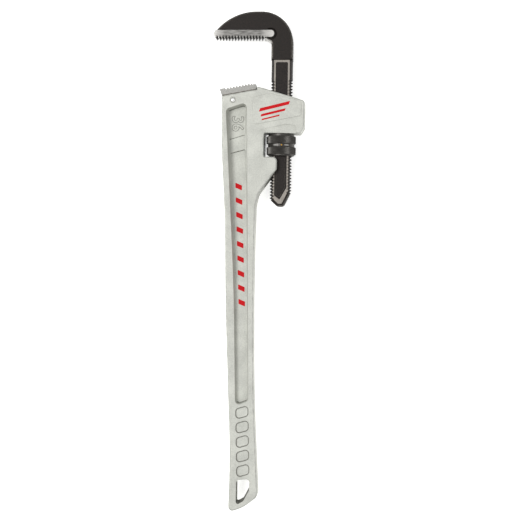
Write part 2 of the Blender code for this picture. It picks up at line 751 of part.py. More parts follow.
def main():
    clear_scene()
    aluminium = new_material("cast_aluminium", (0.62, 0.63, 0.60), 0.45, 0.6)
    forged = new_material("black_forged_steel", (0.045, 0.042, 0.040), 0.45, 0.8)
    turned_steel = new_material("black_turned_steel", (0.055, 0.053, 0.051), 0.38, 0.8)
    jaw_steel = new_material("grey_jaw_steel", (0.44, 0.44, 0.43), 0.4, 0.9)
    bright = new_material("bright_steel", (0.7, 0.7, 0.68), 0.25, 1.0)
    spring_steel = new_material("spring_steel", (0.5, 0.5, 0.49), 0.3, 1.0)

    handle = make_handle(aluminium)
    hook = make_hook(forged)
    nut = make_nut(turned_steel)
    heel = make_heel_jaw(jaw_steel)
    pin = make_pin(bright)
    strip = make_strip(spring_steel)
    coil = make_coil(spring_steel)
    screw = make_screw(bright)

    root = new_empty("wrench", (0, 0, 0))
    rock = new_empty("rock_pivot", (*ROCK_PIVOT, 0), root)
    for piece in (handle, heel, pin, coil, screw, *CUTTERS):
        attach(piece, root)
    for piece in (hook, nut, strip):
        attach(piece, rock)
    place_on_base(root, (handle, hook, nut, heel, pin, strip, coil, screw))


main()
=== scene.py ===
"""Straight pipe wrench with a cast aluminium handle: its looks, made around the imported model.

Sizes are millimetres of the wrench's drawing, whose origin is on the axis of the hook's shank at
the middle of the nut, half way through the thickness: +Y towards the jaws, +X from the jaw tips to
the back of the hook, +Z up through the thickness. at() puts a point of the drawing in the frame.
"""

import math

import bmesh
import bpy
from mathutils import Matrix, Vector


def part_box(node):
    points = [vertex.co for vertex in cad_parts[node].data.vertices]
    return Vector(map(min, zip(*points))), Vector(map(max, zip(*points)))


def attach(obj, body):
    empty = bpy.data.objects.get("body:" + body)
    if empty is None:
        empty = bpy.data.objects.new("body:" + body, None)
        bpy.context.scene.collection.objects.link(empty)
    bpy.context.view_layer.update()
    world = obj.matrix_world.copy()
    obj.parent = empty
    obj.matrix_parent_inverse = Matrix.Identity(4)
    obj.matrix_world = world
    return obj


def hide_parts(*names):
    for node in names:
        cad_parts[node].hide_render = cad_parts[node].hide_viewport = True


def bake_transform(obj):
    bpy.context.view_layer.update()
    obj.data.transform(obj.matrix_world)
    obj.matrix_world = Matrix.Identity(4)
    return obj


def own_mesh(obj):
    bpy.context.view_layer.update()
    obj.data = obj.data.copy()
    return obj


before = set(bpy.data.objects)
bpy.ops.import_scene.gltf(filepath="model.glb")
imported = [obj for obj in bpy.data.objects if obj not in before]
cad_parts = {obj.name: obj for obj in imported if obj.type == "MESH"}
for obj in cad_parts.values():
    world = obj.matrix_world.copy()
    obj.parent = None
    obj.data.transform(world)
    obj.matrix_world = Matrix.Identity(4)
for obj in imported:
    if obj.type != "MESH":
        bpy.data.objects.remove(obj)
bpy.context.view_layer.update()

MM = 0.001
TURN = 2 * math.pi

# Shank of the hook, and its thread
SHANK_R = 19.6
SHANK_HALF = 12.5
SHANK_TIP_Y = -113.0
SHANK_TIP_HALF_X = 6.0
SHANK_POINT_Y = -83.5
FLAT_TOP_Y = 153.0
PANEL_HALF_X = 11.0
PANEL_DEPTH = 1.2
PANEL_RIM = 3.8
PITCH = 5.6
THREAD_DEPTH = 2.8
THREAD_TOP_Y = 119.0
THREAD_GAP = 0.45
THREAD_COLUMNS = 72
RINGS_PER_PITCH = 8

# Head of the hook
HOOK_HALF = 14.5
HOOK_TOP_Y = 241.5
HOOK_BACK_R = 57.0
HOOK_BROW_R = 96.6
HOOK_BROW_X = -46.6
HOOK_EDGE = 3.0
JAW_HALF = 17.5
TOOTH_PITCH = 5.55
TOOTH_DEPTH = 4.5
TOOTH_FLAT = 1.2
HOOK_TEETH = 16
HOOK_TIP_X = -125.0
HOOK_TEETH_X = -33.0
HOOK_TEETH_Y = 192.5
BAND_TOP_Y = 207.0
BAND_END_X = -21.0
BAND_END_R = 6.4
THROAT_X = -31.0
THROAT_DROP = 7.7
RECESS_R = 11.4
RECESS_DEPTH = 2.2
MOAT = 1.5
RIM_X = 14.2
RIM_FOOT = 9.5
POINT_CHAMFER = 5.2

# Nut
NUT_R = 26.6
NUT_FLANGE = 14.1
NUT_GROOVE = 5.6
NUT_GROOVE_DEPTH = 2.4
NUT_EDGE = 1.5
NUT_TOP_Y = 15.0
NUT_HUB_R = 23.5
NUT_HUB = 4.2
NUT_FOOT = 2.0
KNURL_RIDGES = 120
KNURL_DEPTH = 0.6

# Heel jaw, in its own frame: u along the seat, v square to it
HEEL_SLOPE = math.radians(10.5)
HEEL_CORNER = (-108.6, 86.8)
HEEL_LENGTH = 65.0
HEEL_HEIGHT = 13.2
HEEL_TOOTH_DEPTH = 2.6
HEEL_TEETH = 9
HEEL_LAND = 8.2
HEEL_NOTCH = 2.2
HEEL_EASE = 3.4
TANG_START = 8.0
TANG_LENGTH = 42.0
TANG_DEPTH = 18.0
TANG_HALF = 8.0
PIN_U = 19.3
PIN_V = -11.5
PIN_R = 4.0
FIT = 0.3

# Casting
CASTING_X = -107.8
HEAD_HALF = 23.0
SHOULDER = (-43.2, 104.0)
HEAD_RIGHT = (42.5, 78.5)
CHIN = (35.5, 31.0)
WINDOW_X = -30.2
WINDOW_TOP_Y = 19.5
WINDOW_BASE_Y = -23.6
NOSE_X = -6.6
NOSE_BASE_Y = -45.4
NOSE_FOOT = (-39.8, -91.2)
GRIP_HALF = 15.5
TAPER_TOP_Y = -95.0
TAPER_END_Y = -330.0
END_Y = -670.5
CASTING_EDGE = 2.6
WEB_HALF = 5.0
SHELF_HALF = 7.0
POCKET_DRAFT = 0.1
HOLE_DRAFT = 6.0
DIMPLE_DEPTH = 1.8
DIMPLE_COUNT = 5
DIMPLE_PITCH = 26.4
DIMPLE_SIZE = (24.0, 20.5)
PANEL_RISE = 1.3
LIP_DEPTH = 2.4

# Springs
STRIP_THICK = 1.0
STRIP_HALF = 8.0
STRIP_WAIST = 12.5
STRIP_FOOT_Y = -60.0
STRIP_TOP_Y = 66.0
COIL_Y = 50.0
COIL_R = 3.2
WIRE_R = 0.65
COIL_TURNS = 6
COIL_BORE = 20.0
SCREW_Y = -50.0
SCREW_R = 1.9
SCREW_HEAD_R = 3.6
SCREW_HEAD = 1.5

# Red marks and size number
HEAD_STRIPES = ((-40.0, 57.5, 54.0, 6.4), (-37.0, 48.6, 44.0, 4.6), (-35.0, 42.0, 32.0, 2.8))
STRIPE_SLOPE = math.radians(14)
STRIPE_LEAN = 0.35
BAR_COUNT = 9
BAR_PITCH = 26.5
BAR_TOP_Y = -70.0
BAR_SIDES = (-82.5, -70.5)
BAR_DRIFT = 0.0405
NUMBER_SIZE = 29
NUMBER_SPOT = (-80.5, 38.0)

# Camera
CAMERA_SPOT = (122.76, -212.01, 2188.04)
CAMERA_AIM = (-35.91, -210.58)
CAMERA_UP = (-0.01396, 0.9999, 0)
CAMERA_LENS = 83.08


def find_origin():
    """The drawing's origin in the frame: on the nut's axis, and as far below the hook's top as drawn."""
    nut_low, nut_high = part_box("adjusting_nut")
    middle = (nut_low + nut_high) / 2
    return Vector((middle.x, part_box("hook_jaw")[1].y - HOOK_TOP_Y * MM, middle.z))


ORIGIN = find_origin()


def at(x, y, z=0.0):
    """A point of the drawing, in the frame."""
    return ORIGIN + Vector((x, y, z)) * MM


def drawn(point):
    """A point of the frame, in the drawing."""
    return (Vector(point) - ORIGIN) / MM


# Tools ----------------------------------------------------------------------------------------


def add(name, primitive, **settings):
    """A primitive that is selected alone, under its own name."""
    if bpy.context.mode != "OBJECT":
        bpy.ops.object.mode_set(mode="OBJECT")
    bpy.ops.object.select_all(action="DESELECT")
    primitive(**settings)
    piece = bpy.context.object
    piece.name = name
    piece.data.name = name
    return piece


def select_only(piece):
    """Selects one piece alone and makes it active, in object mode."""
    if bpy.context.mode != "OBJECT":
        bpy.ops.object.mode_set(mode="OBJECT")
    bpy.ops.object.select_all(action="DESELECT")
    bpy.context.view_layer.objects.active = piece
    piece.select_set(True)


def open_mesh(piece):
    """Starts work on a piece's mesh, with nothing selected."""
    select_only(piece)
    bpy.ops.object.mode_set(mode="EDIT")
    bpy.ops.mesh.select_mode(type="VERT")
    bpy.ops.mesh.select_all(action="DESELECT")


def close_mesh():
    bpy.ops.object.mode_set(mode="OBJECT")


def pick(piece, kind, wanted):
    """Selects the vertices, edges or faces of the open mesh that are wanted."""
    bpy.ops.mesh.select_mode(type=kind)
    bpy.ops.mesh.select_all(action="DESELECT")
    mesh = bmesh.from_edit_mesh(piece.data)
    items = {"VERT": mesh.verts, "EDGE": mesh.edges, "FACE": mesh.faces}[kind]
    for item in [item for item in items if wanted(item)]:
        item.select_set(True)
    bmesh.update_edit_mesh(piece.data)


def dress(piece, slot, wanted):
    """Gives the faces of the open mesh that are wanted the material in that slot."""
    pick(piece, "FACE", wanted)
    piece.active_material_index = slot
    bpy.ops.object.material_slot_assign()


def middle(item):
    """The middle of an edge or a face, in the drawing."""
    return drawn(sum((vertex.co for vertex in item.verts), Vector()) / len(item.verts))


def face_out():
    bpy.ops.mesh.select_all(action="SELECT")
    bpy.ops.mesh.remove_doubles(threshold=0.002 * MM)
    bpy.ops.mesh.normals_make_consistent(inside=False)


def place(piece, material, *more):
    """Puts a finished piece's place into its mesh, and gives it its materials."""
    select_only(piece)
    bpy.ops.object.transform_apply(location=True, rotation=True, scale=True)
    for finish in (material, *more):
        if finish.name not in [slot.name for slot in piece.material_slots]:
            piece.data.materials.append(finish)


def apply(piece, kind, **settings):
    """Adds a modifier with its settings and applies it."""
    if bpy.context.mode != "OBJECT":
        bpy.ops.object.mode_set(mode="OBJECT")
    bpy.context.view_layer.objects.active = piece
    modifier = piece.modifiers.new(kind.lower(), kind)
    for name, value in settings.items():
        setattr(modifier, name, value)
    bpy.ops.object.modifier_apply(modifier=modifier.name)


def ease(piece, width):
    """Breaks every sharp edge of a finished piece by that many millimetres."""
    settings = {"segments": 2, "limit_method": "ANGLE", "angle_limit": math.radians(60)}
    apply(piece, "BEVEL", width=width * MM, **settings)


def combine(piece, tool, operation):
    """Joins, cuts or keeps what the tool shares with the piece, and puts the tool away."""
    apply(piece, "BOOLEAN", object=tool, operation=operation, solver="EXACT")
    bpy.data.objects.remove(tool)


def smooth(piece, angle=32.0):
    """Smooth shading up to that angle between faces, led by the large faces."""
    select_only(piece)
    bpy.ops.object.shade_smooth_by_angle(angle=math.radians(angle))
    apply(piece, "WEIGHTED_NORMAL", keep_sharp=True)


def draw_line(name, points):
    """A line drawn point after point through places in the frame. Its mesh is left open, all selected."""
    line = add(name, bpy.ops.mesh.primitive_plane_add, size=MM)
    open_mesh(line)
    bpy.ops.mesh.select_all(action="SELECT")
    bpy.ops.mesh.merge(type="CENTER")
    bpy.ops.transform.translate(value=points[0])
    for here, after in zip(points, points[1:]):
        bpy.ops.mesh.extrude_region_move(TRANSFORM_OT_translate={"value": after - here})
    bpy.ops.mesh.select_all(action="SELECT")
    return line


def trace(name, corners, z):
    """A flat face drawn through corners (x, y, radius), which are then rounded."""
    points = [at(x, y, z) for x, y, _ in corners]
    sheet = draw_line(name, points)
    bpy.ops.mesh.edge_face_add()
    for i, (_, _, radius) in enumerate(corners):
        before = points[i - 1] - points[i]
        after = points[(i + 1) % len(points)] - points[i]
        turn = math.pi - before.angle(after)
        if radius == 0:
            continue
        reach = min(radius * MM * math.tan(turn / 2), 0.48 * before.length, 0.48 * after.length)
        corner = points[i]
        pick(sheet, "VERT", lambda vertex: (vertex.co - corner).length < 0.01 * MM)
        steps = max(3, math.ceil(math.degrees(turn) / 9.0))
        bpy.ops.mesh.bevel(offset=reach, affect="VERTICES", segments=steps, profile=0.5)
    bpy.ops.mesh.select_all(action="SELECT")
    return sheet


def prism(name, corners, low, high):
    """A closed solid of that outline between two heights. Its mesh is left open, all selected."""
    solid = trace(name, corners, low)
    bpy.ops.mesh.extrude_region_move(TRANSFORM_OT_translate={"value": (0, 0, (high - low) * MM)})
    face_out()
    return solid


def round_rims(piece, offset, segments, finish=-1):
    """Rounds the edges between the flat faces and the walls of an upright solid."""

    def is_rim(edge):
        if len(edge.link_faces) != 2:
            return False
        flats = [abs(face.normal.z) > 0.9 for face in edge.link_faces]
        return flats[0] != flats[1]

    pick(piece, "EDGE", is_rim)
    bpy.ops.mesh.bevel(
        offset=offset * MM, affect="EDGES", segments=segments, profile=0.5, material=finish
    )


def recess(name, corners, face, floor, draft, fillet, over=4.0):
    """Cutter for a drafted recess with a rounded floor, into both faces."""
    tool = prism(name, corners, face, face + over)
    height = (face - floor) * MM
    pick(tool, "FACE", lambda flat: flat.normal.z < -0.9)
    bpy.ops.mesh.inset(thickness=draft * height, depth=height)
    pick(tool, "EDGE", lambda edge: all(abs(drawn(v.co).z - floor) < 0.01 for v in edge.verts))
    bpy.ops.mesh.bevel(offset=fillet * MM, affect="EDGES", segments=4, profile=0.5)
    mirror_through()
    close_mesh()
    return tool


def mirror_through():
    """Copies the open mesh to the other face of the wrench."""
    bpy.ops.mesh.select_all(action="SELECT")
    bpy.ops.mesh.duplicate()
    bpy.ops.transform.resize(value=(1, 1, -1), center_override=ORIGIN)
    bpy.ops.mesh.flip_normals()


def turned(name, profile, steps, axis="Y", centre=(0, 0, 0)):
    """A turned solid. The profile is (radius, height) along the axis, from one end to the other."""
    along = Vector({"X": (1, 0, 0), "Y": (0, 1, 0), "Z": (0, 0, 1)}[axis])
    out = Vector({"X": (0, 1, 0), "Y": (1, 0, 0), "Z": (1, 0, 0)}[axis])
    points = [at(*(Vector(centre) + out * radius + along * height)) for radius, height in profile]
    solid = draw_line(name, points)
    bpy.ops.mesh.spin(steps=steps, angle=TURN, center=at(*centre), axis=along)
    face_out()
    close_mesh()
    return solid


def rod(name, radius, low, high, steps, axis="Y", centre=(0, 0, 0)):
    """A plain round rod between two heights on its axis."""
    return turned(name, [(0, low), (radius, low), (radius, high), (0, high)], steps, axis, centre)


def inset_corners(corners, distance):
    """The corners (x, y, radius) moved inwards by distance. They run anticlockwise."""
    moved = []
    for i, (x, y, radius) in enumerate(corners):
        here = Vector((x, y))
        before = (here - Vector(corners[i - 1][:2])).normalized()
        after = (Vector(corners[(i + 1) % len(corners)][:2]) - here).normalized()
        along = (before + after).normalized()
        spot = here + Vector((-along.y, along.x)) * distance / along.dot(before)
        moved.append((spot.x, spot.y, max(radius - distance, 3.0)))
    return moved


def arc(centre, radius, start, end, steps):
    """Corners without a radius of their own, on an arc from start to end, in degrees."""
    angles = [math.radians(start + (end - start) * i / steps) for i in range(steps + 1)]
    return [(centre[0] + radius * math.cos(a), centre[1] + radius * math.sin(a), 0) for a in angles]


def teeth(count, pitch, depth, flat):
    """Grooves side by side from 0, as (distance, depth below the tips)."""
    flank = (pitch - 2 * flat) / 2
    points = []
    for i in range(count):
        start = i * pitch
        points += [(start, 0.0), (start + flank, depth)]
        points += [(start + flank + flat, depth), (start + 2 * flank + flat, 0.0)]
    return points


# Materials ------------------------------------------------------------------------------------


def colour(code):
    """A colour written as sRGB hex, in the linear values that shaders take."""
    values = [int(code[i : i + 2], 16) / 255 for i in (1, 3, 5)]
    return (*[v / 12.92 if v <= 0.04045 else ((v + 0.055) / 1.055) ** 2.4 for v in values], 1.0)


def per(size):
    """Texture scale at which one feature is that many millimetres across."""
    return 1 / (size * MM)


def add_node(tree, kind, sockets=None, **settings):
    """Adds a node. A socket takes a value, or another node's output, which is linked."""
    node = tree.nodes.new(kind)
    for name, value in settings.items():
        setattr(node, name, value)
    for name, value in (sockets or {}).items():
        if isinstance(value, bpy.types.NodeSocket):
            tree.links.new(value, node.inputs[name])
        else:
            node.inputs[name].default_value = value
    return node


def new_material(name, metallic, roughness):
    """A material with its shader, ready for its pattern: (material, tree, shader, object coordinates)."""
    material = bpy.data.materials.new(name)
    material.use_nodes = True
    tree = material.node_tree
    shader = tree.nodes["Principled BSDF"]
    shader.inputs["Metallic"].default_value = metallic
    shader.inputs["Roughness"].default_value = roughness
    place_node = add_node(tree, "ShaderNodeTexCoord")
    return material, tree, shader, place_node.outputs["Object"]


def mix_by(tree, shader, factor, low, high, dark, light):
    """Colours the shader between two tones as a pattern runs from low to high."""
    ramp = add_node(tree, "ShaderNodeValToRGB", {"Fac": factor})
    ramp.color_ramp.elements[0].position = low
    ramp.color_ramp.elements[0].color = colour(dark)
    ramp.color_ramp.elements[1].position = high
    ramp.color_ramp.elements[1].color = colour(light)
    tree.links.new(ramp.outputs["Color"], shader.inputs["Base Color"])


def raise_by(tree, shader, height, depth, strength):
    """Gives the surface a relief of that depth in millimetres."""
    sockets = {"Height": height, "Distance": depth * MM, "Strength": strength}
    bump = add_node(tree, "ShaderNodeBump", sockets)
    tree.links.new(bump.outputs["Normal"], shader.inputs["Normal"])


def noise(tree, spot, size, detail):
    """A noise pattern whose features are that many millimetres across."""
    sockets = {"Vector": spot, "Scale": per(size), "Detail": detail}
    return add_node(tree, "ShaderNodeTexNoise", sockets).outputs["Fac"]


def stretch(tree, spot, scale):
    """Coordinates in which a pattern is drawn out along each axis whose scale is small."""
    return add_node(tree, "ShaderNodeMapping", {"Vector": spot, "Scale": scale}).outputs[0]


def maths(tree, operation, *values):
    """The outcome of a sum on numbers and other nodes' outputs."""
    return add_node(tree, "ShaderNodeMath", dict(enumerate(values)), operation=operation).outputs[0]


def clouded(name, metallic, roughness, grain, span, dark, light, drawn_out=None, relief=None):
    """A material that runs between two tones in a noise pattern.

    grain is the pattern's size in millimetres and its detail, and span the part of it that the tones
    take up. drawn_out is its scale along each axis, and relief its depth in millimetres and strength.
    """
    material, tree, shader, spot = new_material(name, metallic, roughness)
    if drawn_out:
        spot = stretch(tree, spot, drawn_out)
    pattern = noise(tree, spot, *grain)
    mix_by(tree, shader, pattern, *span, dark, light)
    if relief:
        raise_by(tree, shader, pattern, *relief)
    return material


def cast_aluminium():
    """Sand-cast aluminium, shot-blasted: a pale, dull skin, pitted as finely as the sand it was cast in.

    The pits are really 0.3 mm across, and are drawn at 2.2 mm so that they show.
    """
    material, tree, shader, spot = new_material("shot_blasted_cast_aluminium", 0.25, 0.62)
    grain = noise(tree, spot, 2.2, 4.0)
    tone = maths(tree, "ADD", grain, noise(tree, spot, 28, 4.0))
    mix_by(tree, shader, maths(tree, "MULTIPLY", tone, 0.5), 0.36, 0.64, "#b3b4ad", "#cbccc4")
    raise_by(tree, shader, grain, 0.2, 0.5)
    return material


def rim_shade_aluminium():
    """Painted shade on the casting's rounded rims: a darker, slightly glossier tone that stands in for the
    shade on its edges and side walls.
    """
    return clouded("cast_aluminium_rim_painted_shade", 0.3, 0.5, (9, 5.0), (0.3, 0.65), "#a6a7a0", "#c4c5be")


def painted_shade_aluminium():
    """Painted shade for the casting's steep walls and corners: a dull, darker grey that stands in for the
    shade in its recesses.
    """
    return clouded("cast_aluminium_painted_shade", 0.2, 0.7, (3, 4.0), (0.3, 0.7), "#6a6a63", "#8a8a82")


def joint_shadow_paint():
    """Painted shadow for the joint under the heel jaw: dark, warm and dull."""
    return clouded("painted_joint_shadow", 0.0, 0.8, (5, 3.0), (0.35, 0.65), "#3f3a35", "#8b857d")


def forged_steel():
    """Drop-forged alloy steel under black oxide: near black, faintly brown, with a rough scale skin.

    The scale's grains are really 0.2 mm across, and are drawn at 2 mm so that they show.
    """
    tones = ("#110e0b", "#261f1b")
    return clouded(
        "black_oxide_forged_steel", 0.55, 0.52, (2, 4.0), (0.35, 0.65), *tones, relief=(0.25, 0.7)
    )


def edge_wear_and_highlight_black():
    """Black oxide thinned by wear on a rounded edge, lighter grey as a painted highlight along the bevel."""
    return clouded("black_oxide_edge_wear_and_painted_highlight", 0.7, 0.4, (6, 5.0), (0.35, 0.7), "#3a3733", "#5c5853")


def milled_steel():
    """Bare steel left by a milling cutter: warm grey, satin, with faint passes along the shank."""
    tones, passes = ("#7b766f", "#98928b"), {"drawn_out": (1.0, 0.06, 1.0), "relief": (0.03, 0.4)}
    return clouded("milled_bare_steel", 0.75, 0.42, (0.8, 2.0), (0.3, 0.7), *tones, **passes)


def ground_steel_with_painted_ends():
    """Induction-hardened jaw steel after grinding: dark silver with grinding lines, and painted highlights
    that make it brighter towards both ends.
    """
    material, tree, shader, spot = new_material("ground_jaw_steel_painted_end_highlights", 0.85, 0.34)
    lines = noise(tree, stretch(tree, spot, (0.05, 1.0, 1.0)), 0.6, 3.0)
    along = add_node(tree, "ShaderNodeSeparateXYZ", {"Vector": spot}).outputs["X"]
    # Painted highlights: the tone rises with distance from the band's middle, standing in for reflections at
    # its rounded ends.
    away = maths(tree, "ABSOLUTE", maths(tree, "SUBTRACT", along, at((HOOK_TIP_X + BAND_END_X) / 2, 0).x))
    span = {"Value": away, "From Min": 32 * MM, "From Max": 56 * MM, "To Max": 0.5}
    ends = add_node(tree, "ShaderNodeMapRange", span).outputs[0]
    mix_by(tree, shader, maths(tree, "ADD", lines, ends), 0.3, 1.3, "#3e3c3a", "#c4c2be")
    raise_by(tree, shader, lines, 0.03, 0.4)
    return material


def turned_black_steel():
    """Turned steel under black oxide: charcoal, satin, with fine tool rings round the nut."""
    tones, rings = ("#383633", "#53514d"), (0.08, 1.0, 0.08)
    return clouded(
        "black_oxide_turned_steel", 0.6, 0.42, (0.7, 3.0), (0.3, 0.7), *tones, drawn_out=rings
    )


def heel_steel():
    """Hardened jaw steel, phosphate-grey and matt, with a fine even grain."""
    tones = ("#8b8a86", "#a6a5a1")
    return clouded("grey_hardened_steel", 0.5, 0.5, (1.3, 4.0), (0.3, 0.7), *tones, relief=(0.06, 0.5))


def polished_steel():
    """Ground dowel steel: bright and nearly white, with a soft gloss."""
    return clouded("bright_dowel_steel", 0.6, 0.26, (3, 3.0), (0.3, 0.7), "#e2e2df", "#f6f6f4")


def spring_steel():
    """Zinc-plated spring steel: nearly white and glossy, with rolling lines along the strip."""
    tones, lines = ("#e4e6e8", "#f7f8f9"), (1.0, 0.04, 1.0)
    return clouded(
        "zinc_plated_spring_steel", 0.3, 0.24, (0.5, 2.0), (0.3, 0.7), *tones, drawn_out=lines
    )


def red_enamel():
    """Baked red enamel rolled onto the casting: opaque and slightly glossy, a touch uneven in tone."""
    material = clouded("baked_red_enamel", 0.0, 0.6, (4, 3.0), (0.3, 0.7), "#b8000a", "#cc0010")
    shader = material.node_tree.nodes["Principled BSDF"]
    shader.inputs["Specular IOR Level"].default_value = 0.2
    return material


def grey_fill():
    """Pale grey paint wiped into the nut's groove, thin at its edges."""
    return clouded("wiped_grey_paint", 0.1, 0.5, (2, 4.0), (0.35, 0.65), "#84827e", "#a5a39f")


def brass():
    """A brass witness dot, warm yellow."""
    return clouded("rubbed_brass", 1.0, 0.33, (1, 3.0), (0.3, 0.7), "#a97a32", "#d6a750")


def pale_floor():
    """Pale floor, white, matt and almost even, that glows faintly though it is no lamp: the glow lifts its
    shadows towards white and lights the wrench a little from below.
    """
    material = clouded("pale_floor_with_painted_glow", 0.0, 0.9, (400, 2.0), (0.3, 0.7), "#f1f1ef", "#f5f5f3")
    shader = material.node_tree.nodes["Principled BSDF"]
    # The glow is painted light that fills the shadows on the floor.
    shader.inputs["Emission Color"].default_value = (1.0, 1.0, 1.0, 1.0)
    shader.inputs["Emission Strength"].default_value = 0.6
    return material


# Handle ---------------------------------------------------------------------------------------


def heel_point(u, v):
    """A point of the heel jaw's frame, in the drawing."""
    cos, sin = math.cos(HEEL_SLOPE), math.sin(HEEL_SLOPE)
    return (HEEL_CORNER[0] + u * cos - v * sin, HEEL_CORNER[1] + u * sin + v * cos)


def heel_prism(name, outline, half, radius=0):
    """A closed solid of an outline in the heel jaw's frame, as thick on both sides. Its mesh is left open."""
    return prism(name, [(*heel_point(u, v), radius) for u, v in outline], -half, half)


def seat_y(x):
    """Height at x of the seat that the heel jaw rests on."""
    return HEEL_CORNER[1] - FIT / math.cos(HEEL_SLOPE) + (x - HEEL_CORNER[0]) * math.tan(HEEL_SLOPE)


def half_thickness(y):
    """Half the casting's thickness: full at the head, then tapering to the grip."""
    share = (TAPER_TOP_Y - y) / (TAPER_TOP_Y - TAPER_END_Y)
    return HEAD_HALF + (GRIP_HALF - HEAD_HALF) * min(1.0, max(0.0, share))


def casting_corners():
    """Front view of the casting, from the heel jaw's seat round the handle's end and back by the nose."""
    step_x = SHOULDER[0] - 1.5
    return [
        (CASTING_X, seat_y(CASTING_X), 3.0),
        (CASTING_X, 5.0, 400.0),
        (CASTING_X + 8.5, -140.0, 900.0),
        (CASTING_X + 11.2, -300.0, 2400.0),
        (CASTING_X + 23.2, END_Y + 95.5, 1500.0),
        (CASTING_X + 20.6, END_Y, 8.0),
        (CASTING_X + 47.0, END_Y + 8.5, 60.0),
        (CASTING_X + 74.4, END_Y + 30.0, 14.0),
        (CASTING_X + 63.9, END_Y + 215.0, 3000.0),
        (CASTING_X + 61.1, -240.0, 3000.0),
        (CASTING_X + 63.2, -112.0, 40.0),
        (NOSE_FOOT[0], NOSE_FOOT[1], 25.0),
        (NOSE_X, NOSE_BASE_Y, 6.0),
        (NOSE_X, WINDOW_BASE_Y, 7.0),
        (WINDOW_X, WINDOW_BASE_Y, 3.0),
        (WINDOW_X, WINDOW_TOP_Y, 3.0),
        (CHIN[0], WINDOW_TOP_Y, 3.6),
        (HEAD_RIGHT[0], CHIN[1], 8.0),
        (HEAD_RIGHT[0], HEAD_RIGHT[1], 5.0),
        (SHOULDER[0], SHOULDER[1], 3.0),
        (step_x, seat_y(step_x), 0.0),
    ]


def cast_blank(finishes):
    """Casting's outline drawn up to its thickness, thinned towards the grip, its edges rounded."""
    blank = prism("handle_casting", casting_corners(), -HEAD_HALF, HEAD_HALF)
    for finish in finishes:
        blank.data.materials.append(finish)
    for y in (TAPER_TOP_Y, TAPER_END_Y):
        bpy.ops.mesh.select_all(action="SELECT")
        bpy.ops.mesh.bisect(plane_co=at(0, y), plane_no=(0, 1, 0))
    mesh = bmesh.from_edit_mesh(blank.data)
    for vertex in mesh.verts:
        spot = drawn(vertex.co)
        vertex.co.z = at(0, 0, math.copysign(half_thickness(spot.y), spot.z)).z
    bmesh.update_edit_mesh(blank.data)
    # The rounded rims take slot 1, the darker tone of painted shade.
    round_rims(blank, CASTING_EDGE, 4, finish=1)
    close_mesh()
    return blank


def pocket_corners(top, base):
    """Corners of a pocket between the two rails. Its top and its base are each a pair (left, right)."""
    return [
        base[0],
        base[1],
        (CASTING_X + 49.3, -102.0, 900.0),
        top[1],
        top[0],
        (CASTING_X + 17.1, -102.0, 900.0),
        (CASTING_X + 24.4, -243.0, 2400.0),
    ]


def cut_pockets(handle):
    """The long pocket on each face: a shelf all round, a band across, and a deeper floor beside it."""
    top = ((CASTING_X + 7.3, 62.5, 8.0), (CASTING_X + 45.6, 75.5, 8.0))
    base = ((CASTING_X + 30.3, -478.0, 9.0), (CASTING_X + 56.0, -467.5, 8.0))
    pocket = recess("pocket", pocket_corners(top, base), HEAD_HALF, SHELF_HALF, POCKET_DRAFT, 1.8)
    combine(handle, pocket, "DIFFERENCE")
    step = SHELF_HALF - WEB_HALF
    inner = POCKET_DRAFT * (HEAD_HALF - SHELF_HALF) + 0.2 * step
    band_top = ((CASTING_X + 11.0, 6.8 - inner, 1.5), (CASTING_X + 44.6, 17.4 - inner, 1.5))
    band_base = ((CASTING_X + 12.6, -17.0 + inner, 1.5), (CASTING_X + 45.0, -8.0 + inner, 1.5))
    upper = inset_corners([band_top[0], band_top[1], top[1], top[0]], inner)
    lower = inset_corners(pocket_corners(band_base, base), inner)
    for name, corners in (("upper_floor", upper), ("lower_floor", lower)):
        combine(handle, recess(name, corners, SHELF_HALF, WEB_HALF, 0.6, 0.6, over=1.0), "DIFFERENCE")


def cut_grip(handle):
    """Shallow finger recesses and the slanted hang hole."""
    slant = 0.3
    for i in range(DIMPLE_COUNT):
        share = i / (DIMPLE_COUNT - 1)
        x = CASTING_X + 43.8 + 3.0 * share
        y = END_Y + 182.5 - i * DIMPLE_PITCH
        half_x, half_y = DIMPLE_SIZE[0] / 2, DIMPLE_SIZE[1] / 2
        rise = slant * half_x
        corners = [
            (x - half_x, y - half_y - rise, 7.2),
            (x + half_x, y - half_y + rise, 7.2),
            (x + half_x, y + half_y + rise, 7.2),
            (x - half_x, y + half_y - rise, 7.2),
        ]
        tool = recess(f"dimple_{i}", corners, GRIP_HALF, GRIP_HALF - DIMPLE_DEPTH, 1.3, 0.8)
        combine(handle, tool, "DIFFERENCE")
    hole = [
        (CASTING_X + 34.8, END_Y + 12.0, 7.0),
        (CASTING_X + 48.3, END_Y + 20.0, 7.0),
        (CASTING_X + 59.0, END_Y + 40.0, 7.0),
        (CASTING_X + 59.0, END_Y + 61.5, 6.0),
        (CASTING_X + 34.8, END_Y + 59.0, 6.0),
    ]
    tool = prism("hang_hole", hole, -GRIP_HALF - 4.0, GRIP_HALF + 4.0)
    bpy.ops.mesh.select_all(action="SELECT")
    bpy.ops.mesh.bisect(plane_co=ORIGIN, plane_no=(0, 0, 1))
    for vertex in bmesh.from_edit_mesh(tool.data).verts:
        spot = drawn(vertex.co)
        if abs(spot.z) < 1.0 and spot.y < END_Y + 50.0:
            vertex.co = at(min(spot.x, CASTING_X + 57.5), spot.y + HOLE_DRAFT)
    bmesh.update_edit_mesh(tool.data)
    close_mesh()
    combine(handle, tool, "DIFFERENCE")


def block(name, low, high):
    """Box between two corners of the drawing."""
    corners = [(low[0], low[1], 0), (high[0], low[1], 0), (high[0], high[1], 0), (low[0], high[1], 0)]
    tool = prism(name, corners, low[2], high[2])
    close_mesh()
    return tool


